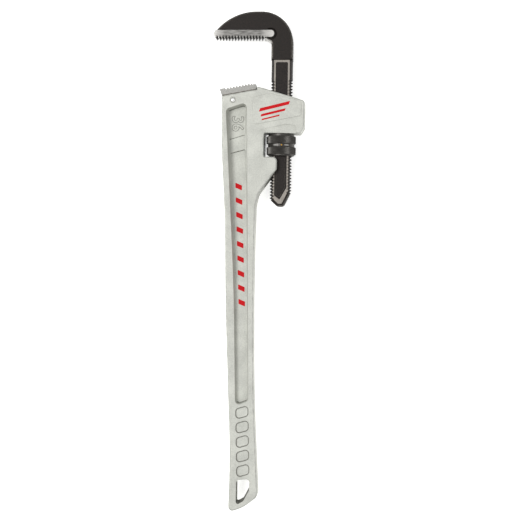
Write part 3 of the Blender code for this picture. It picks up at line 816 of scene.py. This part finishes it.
def cut_slots(handle):
    """Slot and channel for the shank, and the places of the heel jaw, its dowel and the springs."""
    slot_half = HOOK_HALF + 0.8
    slot_left, slot_right = -(SHANK_R + 4.9), SHANK_R + 1.2
    channel_half = SHANK_HALF + 0.8
    strip_half = STRIP_HALF + 1.0
    boxes = (
        ("slot", (slot_left, WINDOW_TOP_Y - 3), (slot_right, SHOULDER[1] + 5), slot_half),
        ("channel", (WINDOW_X, NOSE_BASE_Y - 60), (NOSE_X + 5, WINDOW_BASE_Y + 3), channel_half),
        ("groove", (WINDOW_X, WINDOW_TOP_Y - 3), (slot_left + 2, STRIP_TOP_Y + 3), strip_half),
    )
    tools = [block(name, (*low, -half), (*high, half)) for name, low, high, half in boxes]
    tools.append(rod("bore", COIL_R + WIRE_R + 0.7, -COIL_BORE, 4, 24, "X", (WINDOW_X, COIL_Y, 0)))
    tools.append(rod("screw_hole", SCREW_R + FIT, -10, 2, 20, "X", (WINDOW_X, SCREW_Y, 0)))
    u_low, u_high = TANG_START - FIT, TANG_START + TANG_LENGTH + FIT
    tang = [(u_low, -TANG_DEPTH - FIT), (u_high, -TANG_DEPTH - FIT), (u_high, 6.0), (u_low, 6.0)]
    tools.append(heel_prism("tang_slot", tang, TANG_HALF + FIT))
    mouth = HEAD_HALF + 1.0
    flare = [(0, -mouth), (PIN_R + 3.0, -mouth), (PIN_R + FIT, 1.7 - HEAD_HALF)]
    profile = flare + [(radius, -height) for radius, height in flare[::-1]]
    tools.append(turned("dowel_hole", profile, 40, "Z", (*heel_point(PIN_U, PIN_V), 0)))
    for tool in tools:
        combine(handle, tool, "DIFFERENCE")


def raise_head(handle):
    """Relief on both sides of the head: a low raised panel, and a lip over the nut that fades leftwards."""
    panel = [
        (-50.0, 34.0, 4.0),
        (36.7, 51.0, 4.0),
        (36.5, 77.0, 4.0),
        (-20.0, 91.5, 12.0),
        (-52.0, 84.0, 4.0),
    ]
    tool = prism("head_panel", panel, HEAD_HALF - 1.0, HEAD_HALF + PANEL_RISE)
    round_rims(tool, PANEL_RISE * 0.95, 2)
    mirror_through()
    close_mesh()
    combine(handle, tool, "UNION")
    left, right = -48.0, 28.0
    lip = [(left, 12.0, 0), (right, 12.0, 0), (right, 33.0, 4.0), (10.0, 36.0, 20.0), (left, 23.0, 2.0)]
    tool = prism("nut_lip", lip, HEAD_HALF - LIP_DEPTH, HEAD_HALF + 2.0)
    for vertex in bmesh.from_edit_mesh(tool.data).verts:
        spot = drawn(vertex.co)
        if spot.z < HEAD_HALF:
            share = min(1.0, (spot.x - left) / (right - left)) ** 0.5
            vertex.co.z = at(0, 0, HEAD_HALF + 0.05 - (LIP_DEPTH + 0.05) * share).z
    bmesh.update_edit_mesh(tool.data)
    mirror_through()
    close_mesh()
    combine(handle, tool, "DIFFERENCE")


def paint_shade_on_walls(handle):
    """Painted shade on the steep walls of the finger recesses, the hang hole and the pocket."""
    open_mesh(handle)

    def is_wall(face):
        spot = middle(face)
        steep = abs(face.normal.z) < 0.85
        in_row = CASTING_X + 30.0 < spot.x < CASTING_X + 62.0
        in_grip = 0.5 * (spot.x - CASTING_X) - 7.4 < spot.y - END_Y < 197.0
        on_step = WEB_HALF < abs(spot.z) < SHELF_HALF and abs(face.normal.y) > 0.5
        return steep and (in_row and in_grip or on_step)

    # The steep walls take slot 2, the darker grey of painted shade.
    dress(handle, 2, is_wall)
    close_mesh()


def soften_cuts(handle):
    """Breaks the sharp edges that the cuts left in the casting's faces."""
    open_mesh(handle)
    bpy.ops.mesh.select_all(action="SELECT")
    bpy.ops.mesh.remove_doubles(threshold=0.03 * MM)
    bpy.ops.mesh.dissolve_limited(angle_limit=math.radians(0.5))

    def is_rim(edge):
        if len(edge.link_faces) != 2 or edge.calc_face_angle(0) < math.radians(35):
            return False
        spot = middle(edge)
        on_face = abs(abs(spot.z) - half_thickness(spot.y)) < 0.3
        return on_face and edge.is_convex

    pick(handle, "EDGE", is_rim)
    # The new bevels take slot 1, the darker tone of painted shade.
    bpy.ops.mesh.bevel(
        offset=0.9 * MM, affect="EDGES", segments=3, profile=0.5, material=1, clamp_overlap=True
    )
    close_mesh()


def make_handle(cast, rim_shade, shade_paint):
    handle = cast_blank((cast, rim_shade, shade_paint))
    raise_head(handle)
    cut_pockets(handle)
    cut_grip(handle)
    cut_slots(handle)
    place(handle, cast, rim_shade, shade_paint)
    paint_shade_on_walls(handle)
    soften_cuts(handle)
    smooth(handle)
    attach(handle, "handle")
    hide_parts("handle")


# Hook -----------------------------------------------------------------------------------------


def threaded_rod(name, root_r, crest_r, low_y, turns, columns):
    """Closed rod on the Y axis with a right-hand thread: a grid rolled up with a lead of one pitch."""
    rings = turns * RINGS_PER_PITCH
    grid = {"size": 1, "x_subdivisions": columns, "y_subdivisions": rings}
    screw = add(name, bpy.ops.mesh.primitive_grid_add, **grid)
    open_mesh(screw)
    mesh = bmesh.from_edit_mesh(screw.data)
    for vertex in mesh.verts:
        round_share, along = vertex.co.x + 0.5, round((vertex.co.y + 0.5) * rings)
        phase = (along % RINGS_PER_PITCH) / RINGS_PER_PITCH
        # crest over the first and last eighth of a pitch, root over the middle quarter
        depth = min(1.0, max(0.0, (min(phase, 1 - phase) - 0.125) / 0.25))
        radius = crest_r + (root_r - crest_r) * depth
        angle = TURN * round_share
        y = low_y + (along / RINGS_PER_PITCH + round_share) * PITCH
        vertex.co = at(radius * math.sin(angle), y, radius * math.cos(angle))
    bmesh.update_edit_mesh(screw.data)
    bpy.ops.mesh.select_all(action="SELECT")
    bpy.ops.mesh.remove_doubles(threshold=0.01 * MM)
    middle_y = at(0, low_y + turns * PITCH / 2).y
    for end, reach in ((-1, low_y - PITCH), (1, low_y + (turns + 2) * PITCH)):
        pick(screw, "EDGE", lambda edge: edge.is_boundary and (edge.verts[0].co.y - middle_y) * end > 0)
        bpy.ops.mesh.extrude_edges_move(TRANSFORM_OT_translate={"value": (0, end * PITCH * MM, 0)})
        bpy.ops.mesh.merge(type="CENTER")
        tip = [vertex for vertex in bmesh.from_edit_mesh(screw.data).verts if vertex.select]
        for vertex in tip:
            vertex.co = at(0, reach)
        bmesh.update_edit_mesh(screw.data)
    face_out()
    close_mesh()
    return screw


def shank_corners():
    """Front view of the shank with its blunt point, wide enough for the thread."""
    half = SHANK_R + 1.0
    return [
        (-half, SHANK_POINT_Y - 15.5, 6.5),
        (-SHANK_TIP_HALF_X, SHANK_TIP_Y, 6.5),
        (SHANK_TIP_HALF_X, SHANK_TIP_Y, 6.5),
        (half, SHANK_POINT_Y, 6.5),
        (half, FLAT_TOP_Y + 10.0, 6.5),
        (-half, FLAT_TOP_Y + 10.0, 6.5),
    ]


def panel_corners(inset, top_y):
    """Front view of the panel in the shank's face, or of the hollow in its floor."""
    half = PANEL_HALF_X - inset
    return [
        (-half, SHANK_POINT_Y - 9.5 + 0.6 * inset, 1.5),
        (-1.2, SHANK_POINT_Y - 17.1 + 1.6 * inset, 2.0),
        (half, SHANK_POINT_Y + 4.5 + 0.4 * inset, 1.5),
        (half, top_y, 2.5),
        (-half, top_y, 2.5),
    ]


def hook_corners():
    """Head of the hook: round back and brow, straight jaw, throat and the top of the shank."""
    back_y, brow_y = HOOK_TOP_Y - HOOK_BACK_R, HOOK_TOP_Y - HOOK_BROW_R
    back = arc((SHANK_R - HOOK_BACK_R, back_y), HOOK_BACK_R, 0, 90, 24)
    brow_end = math.degrees(math.asin((BAND_TOP_Y - brow_y) / HOOK_BROW_R))
    brow = arc((HOOK_BROW_X, brow_y), HOOK_BROW_R, 90, 180 - brow_end, 16)
    root_y = HOOK_TEETH_Y + TOOTH_DEPTH + HOOK_EDGE
    jaw = [(HOOK_TIP_X + 5.0, root_y, 0), (THROAT_X, root_y, 0), (THROAT_X, HOOK_TEETH_Y, 0)]
    throat = [(-SHANK_R, HOOK_TEETH_Y - THROAT_DROP, 4.0)]
    shank = [(-SHANK_R, FLAT_TOP_Y, 0), (SHANK_R, FLAT_TOP_Y, 0)]
    return back + brow + jaw + throat + shank


def tooth_band_corners():
    """Toothed band: grooves along its base, a round end by the throat."""
    end = arc((BAND_END_X, BAND_TOP_Y - BAND_END_R), BAND_END_R, -90, 90, 20)
    grooves = teeth(HOOK_TEETH, TOOTH_PITCH, TOOTH_DEPTH, TOOTH_FLAT)
    edge = [(HOOK_TEETH_X - along, HOOK_TEETH_Y + depth, 0.5) for along, depth in grooves]
    tip = [
        (HOOK_TIP_X + 1.2, HOOK_TEETH_Y + 3.0, 2.0),
        (HOOK_TIP_X, BAND_TOP_Y - 6.0, 4.0),
        (HOOK_TIP_X + 3.0, BAND_TOP_Y, 3.0),
    ]
    land = [(THROAT_X, HOOK_TEETH_Y, 0), (THROAT_X, BAND_TOP_Y - 2 * BAND_END_R, 0)]
    return end + tip[::-1] + edge[::-1] + land


def band_recess():
    """The moat round the toothed band: a narrow groove over it, and a wide one round its end."""
    tools = []
    low, high = HOOK_HALF - RECESS_DEPTH, HOOK_HALF + 2.0
    centre_y = BAND_TOP_Y - BAND_END_R
    bowl = [(0, low), (RECESS_R - 2.4, low), (RECESS_R - 0.8, HOOK_HALF - 0.6)]
    bowl += [(RECESS_R, high), (0, high)]
    for side in (1, -1):
        profile = [(radius, side * height) for radius, height in bowl]
        tools.append(turned("end_recess", profile, 56, "Z", (BAND_END_X, centre_y, 0)))
    groove = [
        (HOOK_TIP_X - 6.0, BAND_TOP_Y - 3.0, 0),
        (BAND_END_X, BAND_TOP_Y - 3.0, 0),
        (BAND_END_X, BAND_TOP_Y + MOAT, 0),
        (HOOK_TIP_X - 6.0, BAND_TOP_Y + MOAT, 0),
    ]
    moat = prism("moat", groove, low + 0.6, high)
    mirror_through()
    tools.append(moat)
    close_mesh()
    return tools


def finish_hook_faces(hook):
    """Bare steel on the toothed band and on the rim of the flats; black on the panels and the rest."""
    open_mesh(hook)
    centre_y = BAND_TOP_Y - BAND_END_R

    def on_band(face):
        spot = middle(face)
        proud = abs(spot.z) > HOOK_HALF + 0.1
        if spot.x < THROAT_X:
            over_teeth = spot.y > centre_y - BAND_END_R + 6.0
            return spot.y < HOOK_TEETH_Y + 0.5 or proud and (abs(face.normal.z) > 0.3 or over_teeth)
        off_x, off_y = spot.x - BAND_END_X, spot.y - centre_y
        in_end = math.hypot(off_x, off_y) < BAND_END_R + 0.05
        in_bar = off_x < 0 and abs(off_y) < BAND_END_R + 0.05
        return proud and (in_end or in_bar)

    def by_throat(face):
        spot = middle(face)
        beside = THROAT_X - 2.5 < spot.x < -SHANK_R + 1.5
        below = HOOK_TEETH_Y - THROAT_DROP < spot.y < HOOK_TEETH_Y + 0.5
        return beside and below and face.normal.y < -0.3

    dress(hook, 3, lambda face: on_band(face) or by_throat(face))

    def on_flat(face):
        spot = middle(face)
        level = abs(face.normal.z) > 0.99 and abs(abs(spot.z) - SHANK_HALF) < 0.02
        return level and spot.y < FLAT_TOP_Y

    for side in (1, -1):
        pick(hook, "FACE", on_flat)
        bpy.ops.mesh.bisect(plane_co=at(side * RIM_X, 0), plane_no=(1, 0, 0))

    def on_rim(face):
        spot = middle(face)
        over_point = spot.y > (SHANK_POINT_Y if spot.x > 0 else SHANK_POINT_Y - 10.0)
        beside_panel = PANEL_HALF_X < abs(spot.x) < RIM_X and abs(spot.z) > RIM_FOOT
        beside_panel = beside_panel and over_point and spot.y < THREAD_TOP_Y
        return beside_panel or on_flat(face) and abs(spot.x) < RIM_X

    dress(hook, 2, on_rim)

    def on_hollow(face):
        spot = middle(face)
        depth = SHANK_HALF - PANEL_DEPTH - abs(spot.z)
        return 0.05 < depth < 0.78 and abs(face.normal.z) < 0.95 and spot.y < NUT_TOP_Y + 1.0

    # The hollow's walls take slot 1, the lighter edge tone: a painted highlight line round the hollow.
    dress(hook, 1, on_hollow)

    def on_ledge(face):
        spot = middle(face)
        return abs(spot.z) > SHANK_HALF - 0.5 and -0.1 < spot.y - FLAT_TOP_Y < HOOK_EDGE + 0.1

    dress(hook, 0, on_ledge)
    close_mesh()


def make_hook(forged, edge_wear_and_highlight, milled, ground):
    low_y = SHANK_TIP_Y - 3 * PITCH
    turns = math.floor((THREAD_TOP_Y - low_y) / PITCH)
    hook = threaded_rod("hook_forging", SHANK_R - THREAD_DEPTH, SHANK_R, low_y, turns, THREAD_COLUMNS)
    plain = rod("plain_shank", SHANK_R, low_y + turns * PITCH, FLAT_TOP_Y + 12.0, THREAD_COLUMNS)
    combine(hook, plain, "UNION")
    form = prism("shank_form", shank_corners(), -SHANK_HALF, SHANK_HALF)
    round_rims(form, POINT_CHAMFER, 3)
    close_mesh()
    combine(hook, form, "INTERSECT")
    for finish in (forged, edge_wear_and_highlight, milled, ground):
        hook.data.materials.append(finish)

    head = prism("head_form", hook_corners(), -HOOK_HALF, HOOK_HALF)
    for finish in (forged, edge_wear_and_highlight):
        head.data.materials.append(finish)
    # The rounded rims take slot 1, the lighter edge tone: wear and painted highlight.
    round_rims(head, HOOK_EDGE, 5, finish=1)
    close_mesh()
    combine(hook, head, "UNION")
    for tool in band_recess():
        combine(hook, tool, "DIFFERENCE")

    band = prism("tooth_band", tooth_band_corners(), -JAW_HALF, JAW_HALF)
    round_rims(band, 0.25, 2)
    close_mesh()
    combine(hook, band, "UNION")

    panel_z = SHANK_HALF - PANEL_DEPTH
    panel = panel_corners(0.0, FLAT_TOP_Y - PANEL_RIM)
    combine(hook, recess("panel", panel, SHANK_HALF, panel_z, 0.35, 0.5, over=1.0), "DIFFERENCE")
    hollow = panel_corners(2.6, NUT_TOP_Y)
    combine(hook, recess("hollow", hollow, panel_z, panel_z - 0.8, 1.3, 0.2, over=0.6), "DIFFERENCE")
    place(hook, forged, edge_wear_and_highlight, milled, ground)
    finish_hook_faces(hook)
    smooth(hook, 30)
    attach(hook, "hook")
    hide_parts("hook_jaw")


# Nut ------------------------------------------------------------------------------------------


def nut_profile(low, high):
    """Half section of the nut: two flanges, the groove between them, a hub at each end."""
    groove_r = NUT_R - NUT_GROOVE_DEPTH
    groove_low, groove_high = low + NUT_FLANGE, high - NUT_FLANGE
    profile = [(0, low - NUT_FOOT), (NUT_HUB_R - 0.5, low - NUT_FOOT), (NUT_HUB_R, low - NUT_FOOT + 0.5)]
    profile += [(NUT_HUB_R, low)]
    for base, top in ((low, groove_low), (groove_high, high)):
        profile += [(NUT_R - NUT_EDGE, base), (NUT_R - 0.45, base + 0.45), (NUT_R, base + NUT_EDGE)]
        profile += [(NUT_R, top - NUT_EDGE), (NUT_R - 0.45, top - 0.45), (NUT_R - NUT_EDGE, top)]
        if top < high:
            profile += [(groove_r + 0.4, top), (groove_r, top + 0.4), (groove_r, groove_high - 0.4)]
            profile += [(groove_r + 0.4, groove_high)]
    profile += [(NUT_HUB_R, high), (NUT_HUB_R, high + NUT_HUB - 0.5)]
    return profile + [(NUT_HUB_R - 0.5, high + NUT_HUB), (0, high + NUT_HUB)]


def cut_knurl(nut):
    """Straight knurl on both flanges: every second line of points is drawn in towards the axis."""
    open_mesh(nut)
    mesh = bmesh.from_edit_mesh(nut.data)
    for vertex in mesh.verts:
        spot = drawn(vertex.co)
        radius = math.hypot(spot.x, spot.z)
        line = round(math.atan2(spot.x, spot.z) / TURN * 2 * KNURL_RIDGES)
        if radius > NUT_R - 0.6 and line % 2:
            share = 1 - KNURL_DEPTH / radius
            vertex.co = at(spot.x * share, spot.y, spot.z * share)
    bmesh.update_edit_mesh(nut.data)
    close_mesh()


def make_nut(black):
    high = NUT_TOP_Y
    low = high - 2 * NUT_FLANGE - NUT_GROOVE
    nut = turned("knurled_nut", nut_profile(low, high), 2 * KNURL_RIDGES)
    cut_knurl(nut)
    first_y = SHANK_TIP_Y - 3 * PITCH + PITCH * math.floor((low - SHANK_TIP_Y) / PITCH)
    turns = math.ceil((high - low) / PITCH) + 6
    bore_r = SHANK_R + THREAD_GAP
    bore = threaded_rod("thread", bore_r - THREAD_DEPTH, bore_r, first_y, turns, THREAD_COLUMNS)
    combine(nut, bore, "DIFFERENCE")
    place(nut, black)
    smooth(nut, 28)
    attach(nut, "nut")
    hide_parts("adjusting_nut")


def make_inlays(fill, brass_dot):
    """Two painted dashes and a brass witness dot in the nut's groove, on the front."""
    middle_y = NUT_TOP_Y - NUT_FLANGE - NUT_GROOVE / 2
    floor_r = NUT_R - NUT_GROOVE_DEPTH
    for name, low_x, high_x in (("left", -12.6, -4.4), ("right", 7.0, 14.6)):
        start, end = math.asin(low_x / floor_r), math.asin(high_x / floor_r)
        radius = floor_r - 0.2
        x, z = radius * math.sin(end), radius * math.cos(end)
        ends = [at(x, middle_y - 1.1, z), at(x, middle_y + 1.1, z)]
        dash = draw_line(f"groove_dash_{name}", ends)
        bpy.ops.mesh.spin(steps=10, angle=end - start, center=ORIGIN, axis=(0, 1, 0))
        face_out()
        close_mesh()
        place(dash, fill)
        apply(dash, "SOLIDIFY", thickness=0.5 * MM, offset=1.0)
        ease(dash, 0.2)
        smooth(dash)
        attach(dash, "nut")
    profile = [(0, -1.0), (1.5, -1.0), (1.5, 0.2), (1.2, 0.55), (0.6, 0.72), (0, 0.76)]
    dot = turned("witness_dot", profile, 24, "Z", (1.9, middle_y, floor_r))
    place(dot, brass_dot)
    smooth(dot, 50)
    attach(dot, "nut")


# Heel jaw -------------------------------------------------------------------------------------


def make_heel(steel):
    grooves = teeth(HEEL_TEETH, TOOTH_PITCH, HEEL_TOOTH_DEPTH, TOOTH_FLAT)
    ridge = [(HEEL_LAND + along, HEEL_HEIGHT - depth, 0.35) for along, depth in grooves]
    end_v = HEEL_HEIGHT - HEEL_TOOTH_DEPTH
    sides = [(HEEL_NOTCH, 0.0, 0), (HEEL_LENGTH - HEEL_EASE, 0.0, 0), (HEEL_LENGTH, HEEL_EASE, 0)]
    top = [(HEEL_LENGTH, end_v, 1.2), (ridge[-1][0] + TOOTH_FLAT, end_v, 0.4)] + ridge[::-1]
    end = [(-1.6, HEEL_HEIGHT, 0.8), (0.0, HEEL_NOTCH, 0)]
    corners = [(*heel_point(u, v), radius) for u, v, radius in sides + top + end]
    heel = prism("heel_insert", corners, -JAW_HALF, JAW_HALF)
    round_rims(heel, 0.2, 2)
    close_mesh()
    u_high = TANG_START + TANG_LENGTH
    tang = [(TANG_START, -TANG_DEPTH), (u_high, -TANG_DEPTH), (u_high, 2.0), (TANG_START, 2.0)]
    tool = heel_prism("tang", tang, TANG_HALF)
    close_mesh()
    combine(heel, tool, "UNION")
    centre = (*heel_point(PIN_U, PIN_V), 0)
    combine(heel, rod("hole", PIN_R + FIT, -HEAD_HALF, HEAD_HALF, 40, "Z", centre), "DIFFERENCE")
    place(heel, steel)
    smooth(heel, 25)
    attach(heel, "handle")
    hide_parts("heel_jaw")


def make_joint_line(joint_shadow_fill):
    """A dark strip along the joint between the heel jaw and its seat: painted shadow for the shade in the
    joint.
    """
    end_u = HEEL_LENGTH - HEEL_EASE
    line = [(0.8, -0.9), (end_u, -0.9), (end_u, 1.6), (HEEL_NOTCH, 1.6), (0.8, 2.4)]
    shadow_strip = heel_prism("joint_line", line, JAW_HALF + 0.3, 0.3)
    round_rims(shadow_strip, 0.2, 2)
    close_mesh()
    place(shadow_strip, joint_shadow_fill)
    smooth(shadow_strip)
    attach(shadow_strip, "handle")


def make_dowel(steel):
    """The heel jaw's dowel, crowned a little at both ends."""
    half = HEAD_HALF - FIT
    end = [(0, half + 0.25), (1.6, half + 0.18), (3.0, half - 0.1), (3.7, half - 0.6), (PIN_R, half - 1.2)]
    profile = end + [(radius, -height) for radius, height in end[::-1]]
    dowel = turned("heel_dowel", profile, 48, "Z", (*heel_point(PIN_U, PIN_V), 0))
    place(dowel, steel)
    smooth(dowel, 40)
    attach(dowel, "handle")
    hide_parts("heel_jaw_pin")


# Springs --------------------------------------------------------------------------------------


def strip_path():
    """Middle line of the flat spring: flat on the nose, clear of the nut, then out to the shank."""
    wall = WINDOW_X + FIT + STRIP_THICK / 2
    nut = -(NUT_R + FIT + STRIP_THICK / 2) - 0.1
    shank = -(SHANK_R + FIT + STRIP_THICK / 2)
    return [
        (wall, STRIP_FOOT_Y),
        (wall, WINDOW_BASE_Y),
        ((wall + nut) / 2, (WINDOW_BASE_Y + WINDOW_TOP_Y) / 2),
        (nut, WINDOW_TOP_Y),
        ((nut + shank) / 2, COIL_Y - 6.0),
        (shank, STRIP_TOP_Y - 5.0),
        (shank - 1.6, STRIP_TOP_Y),
    ]


def make_strip(steel):
    """The flat spring: a ribbon drawn along its path, given its thickness, drilled for the screw."""
    path = strip_path()
    strip = draw_line("strip_spring", [at(x, y, -STRIP_HALF) for x, y in path])
    inner = [at(x, y, -STRIP_HALF) for x, y in path[1:-1]]
    pick(strip, "VERT", lambda vertex: any((vertex.co - spot).length < 0.01 * MM for spot in inner))
    bpy.ops.mesh.bevel(offset=7 * MM, affect="VERTICES", segments=4, profile=0.5, clamp_overlap=True)
    bpy.ops.mesh.select_all(action="SELECT")
    bpy.ops.mesh.extrude_region_move(TRANSFORM_OT_translate={"value": (0, 0, 2 * STRIP_HALF * MM)})
    face_out()
    pick(strip, "VERT", lambda vertex: abs(drawn(vertex.co).y - path[2][1]) < 8.0)
    bpy.ops.transform.resize(value=(1, 1, STRIP_WAIST / STRIP_HALF), center_override=ORIGIN)
    close_mesh()
    apply(strip, "SOLIDIFY", thickness=STRIP_THICK * MM, offset=0.0, use_even_offset=True)
    ease(strip, 0.22)
    hole = rod("hole", SCREW_R + FIT, -5, 5, 32, "X", (path[0][0], SCREW_Y, 0))
    combine(strip, hole, "DIFFERENCE")
    place(strip, steel)
    smooth(strip)
    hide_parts("flat_spring")
    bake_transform(strip)


def make_coil(steel):
    """The compression spring behind the strip, its end turns closed up."""
    path = strip_path()
    (low_x, low_y), (high_x, high_y) = path[3], path[4]
    strip_x = low_x + (high_x - low_x) * (COIL_Y - COIL_R - low_y) / (high_y - low_y)
    start = WINDOW_X - COIL_BORE + WIRE_R + FIT
    end = min(strip_x, high_x) - STRIP_THICK - WIRE_R - FIT
    curve = bpy.data.curves.new("plunger_spring", "CURVE")
    curve.dimensions = "3D"
    curve.bevel_depth = WIRE_R * MM
    curve.bevel_resolution = 3
    curve.use_fill_caps = True
    steps = 32 * COIL_TURNS
    spline = curve.splines.new("POLY")
    spline.points.add(steps)
    for i, point in enumerate(spline.points):
        angle = TURN * COIL_TURNS * i / steps
        share = i / steps
        closed = share - 0.07 * math.sin(TURN * share)
        spot = at(
            start + (end - start) * closed,
            COIL_Y + COIL_R * math.cos(angle),
            COIL_R * math.sin(angle),
        )
        point.co = (*spot, 1.0)
    coil = bpy.data.objects.new("plunger_spring", curve)
    bpy.context.scene.collection.objects.link(coil)
    select_only(coil)
    bpy.ops.object.convert(target="MESH")
    coil = bpy.context.object
    place(coil, steel)
    smooth(coil, 60)
    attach(coil, "handle")
    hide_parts("coil_spring")
    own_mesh(coil)


def make_screw(steel):
    """The strip's pan-head screw, with a cross recess."""
    face = WINDOW_X + 2 * FIT + STRIP_THICK
    head = [(SCREW_HEAD_R, 0.0), (SCREW_HEAD_R, 0.6), (3.2, 1.15), (2.2, 1.42), (0, SCREW_HEAD)]
    profile = [(0, -10.0), (SCREW_R - 0.4, -10.0), (SCREW_R, -9.6), (SCREW_R, 0.0)] + head
    screw = turned("strip_screw", profile, 40, "X", (face, SCREW_Y, 0))
    for reach_y, reach_z in ((1.7, 0.32), (0.32, 1.7)):
        low = (face + 0.5, SCREW_Y - reach_y, -reach_z)
        high = (face + SCREW_HEAD + 1.0, SCREW_Y + reach_y, reach_z)
        combine(screw, block("cross", low, high), "DIFFERENCE")
    place(screw, steel)
    smooth(screw, 35)
    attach(screw, "handle")
    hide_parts("spring_screw")


# Marks ----------------------------------------------------------------------------------------


def mark(name, corners, z, thick, finish):
    """A thin mark on the casting's front, its edges eased."""
    solid = prism(name, corners, z - 0.3, z + thick)
    round_rims(solid, min(0.12, thick * 0.6), 2)
    close_mesh()
    place(solid, finish)
    smooth(solid)
    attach(solid, "handle")


def make_marks(red):
    """Plain red stripes on the head and a row of slanted red bars down the handle."""
    for i, (x, y, length, height) in enumerate(HEAD_STRIPES):
        rise, lean = length * math.tan(STRIPE_SLOPE), STRIPE_LEAN * height
        corners = [
            (x, y, 0.6),
            (x + length, y + rise, 0.6),
            (x + length + lean, y + rise + height, 0.6),
            (x + lean, y + height, 0.6),
        ]
        mark(f"head_stripe_{i + 1}", corners, HEAD_HALF + PANEL_RISE, 0.15, red)
    for i in range(BAR_COUNT):
        y = BAR_TOP_Y - BAR_PITCH * i
        left, right = [side - BAR_DRIFT * (y - BAR_TOP_Y) for side in BAR_SIDES]
        corners = [(left, y - 9.0, 0.8), (right, y - 14.0, 0.8), (right, y - 5.0, 0.8), (left, y, 0.8)]
        mark(f"grip_bar_{i + 1}", corners, WEB_HALF, 0.2, red)


def make_number(cast, shade_paint):
    """The size in inches, raised on the pocket's floor, with a wider dark layer round its foot as painted
    shade.
    """
    # The lower, wider layer takes the darker grey: painted shade round the raised figures.
    layers = (("size_number_foot", 0.75, 0.35, shade_paint), ("size_number", -0.1, 0.8, cast))
    for name, spread, height, finish in layers:
        bpy.ops.object.select_all(action="DESELECT")
        bpy.ops.object.text_add(location=at(*NUMBER_SPOT, WEB_HALF), rotation=(0, 0, -TURN / 4))
        number = bpy.context.object
        number.name = name
        number.data.body = "36"
        number.data.size = NUMBER_SIZE * MM
        number.data.align_x = "CENTER"
        number.data.align_y = "CENTER"
        number.data.offset = spread * MM
        number.data.extrude = (height - 0.15) * MM
        number.data.bevel_depth = 0.15 * MM
        number.data.bevel_resolution = 2
        bpy.ops.object.convert(target="MESH")
        number = bpy.context.object
        number.data.name = name
        place(number, finish)
        smooth(number, 35)
        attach(number, "handle")


# Studio ---------------------------------------------------------------------------------------


def make_camera():
    """Looks down on the wrench from above the shank's side, where the handle's right wall just shows."""
    spot = at(*CAMERA_SPOT)
    back = (spot - at(*CAMERA_AIM)).normalized()
    side = Vector(CAMERA_UP).cross(back).normalized()
    turn = Matrix((side, back.cross(side), back)).transposed()
    data = bpy.data.cameras.new("camera")
    data.lens = CAMERA_LENS
    data.sensor_width = 36
    data.clip_end = 100
    camera = bpy.data.objects.new("camera", data)
    camera.matrix_world = Matrix.Translation(spot) @ turn.to_4x4()
    bpy.context.scene.collection.objects.link(camera)
    bpy.context.scene.camera = camera


def softbox(name, spot, aim, size, power):
    data = bpy.data.lights.new(name, "AREA")
    data.shape = "SQUARE"
    data.size = size
    data.energy = power
    light = bpy.data.objects.new(name, data)
    light.location = spot
    light.rotation_euler = (Vector(aim) - Vector(spot)).to_track_quat("-Z", "Y").to_euler()
    bpy.context.scene.collection.objects.link(light)


def make_studio(paper):
    floor = add("studio_floor", bpy.ops.mesh.primitive_plane_add, size=30)
    place(floor, paper)
    world = bpy.data.worlds.new("studio")
    world.use_nodes = True
    background = world.node_tree.nodes["Background"]
    background.inputs["Color"].default_value = (1.0, 1.0, 1.0, 1.0)
    background.inputs["Strength"].default_value = 0.58
    bpy.context.scene.world = world
    bpy.context.scene.view_settings.view_transform = "Standard"
    centre = (0, 0, 0.03)
    softbox("key", (-2.7, 0.6, 5.4), centre, 2.4, 200)
    softbox("fill", (2.6, -1.6, 4.0), centre, 3.0, 30)


def main():
    cast, rim_shade, shade_paint = cast_aluminium(), rim_shade_aluminium(), painted_shade_aluminium()
    forged, edge_wear_and_highlight = forged_steel(), edge_wear_and_highlight_black()
    bright, spring, red = polished_steel(), spring_steel(), red_enamel()
    make_camera()
    make_handle(cast, rim_shade, shade_paint)
    make_hook(forged, edge_wear_and_highlight, milled_steel(), ground_steel_with_painted_ends())
    make_nut(turned_black_steel())
    make_inlays(grey_fill(), brass())
    make_heel(heel_steel())
    make_joint_line(joint_shadow_paint())
    make_dowel(bright)
    make_strip(spring)
    make_coil(spring)
    make_screw(bright)
    make_marks(red)
    make_number(cast, shade_paint)
    make_studio(pale_floor())


main()
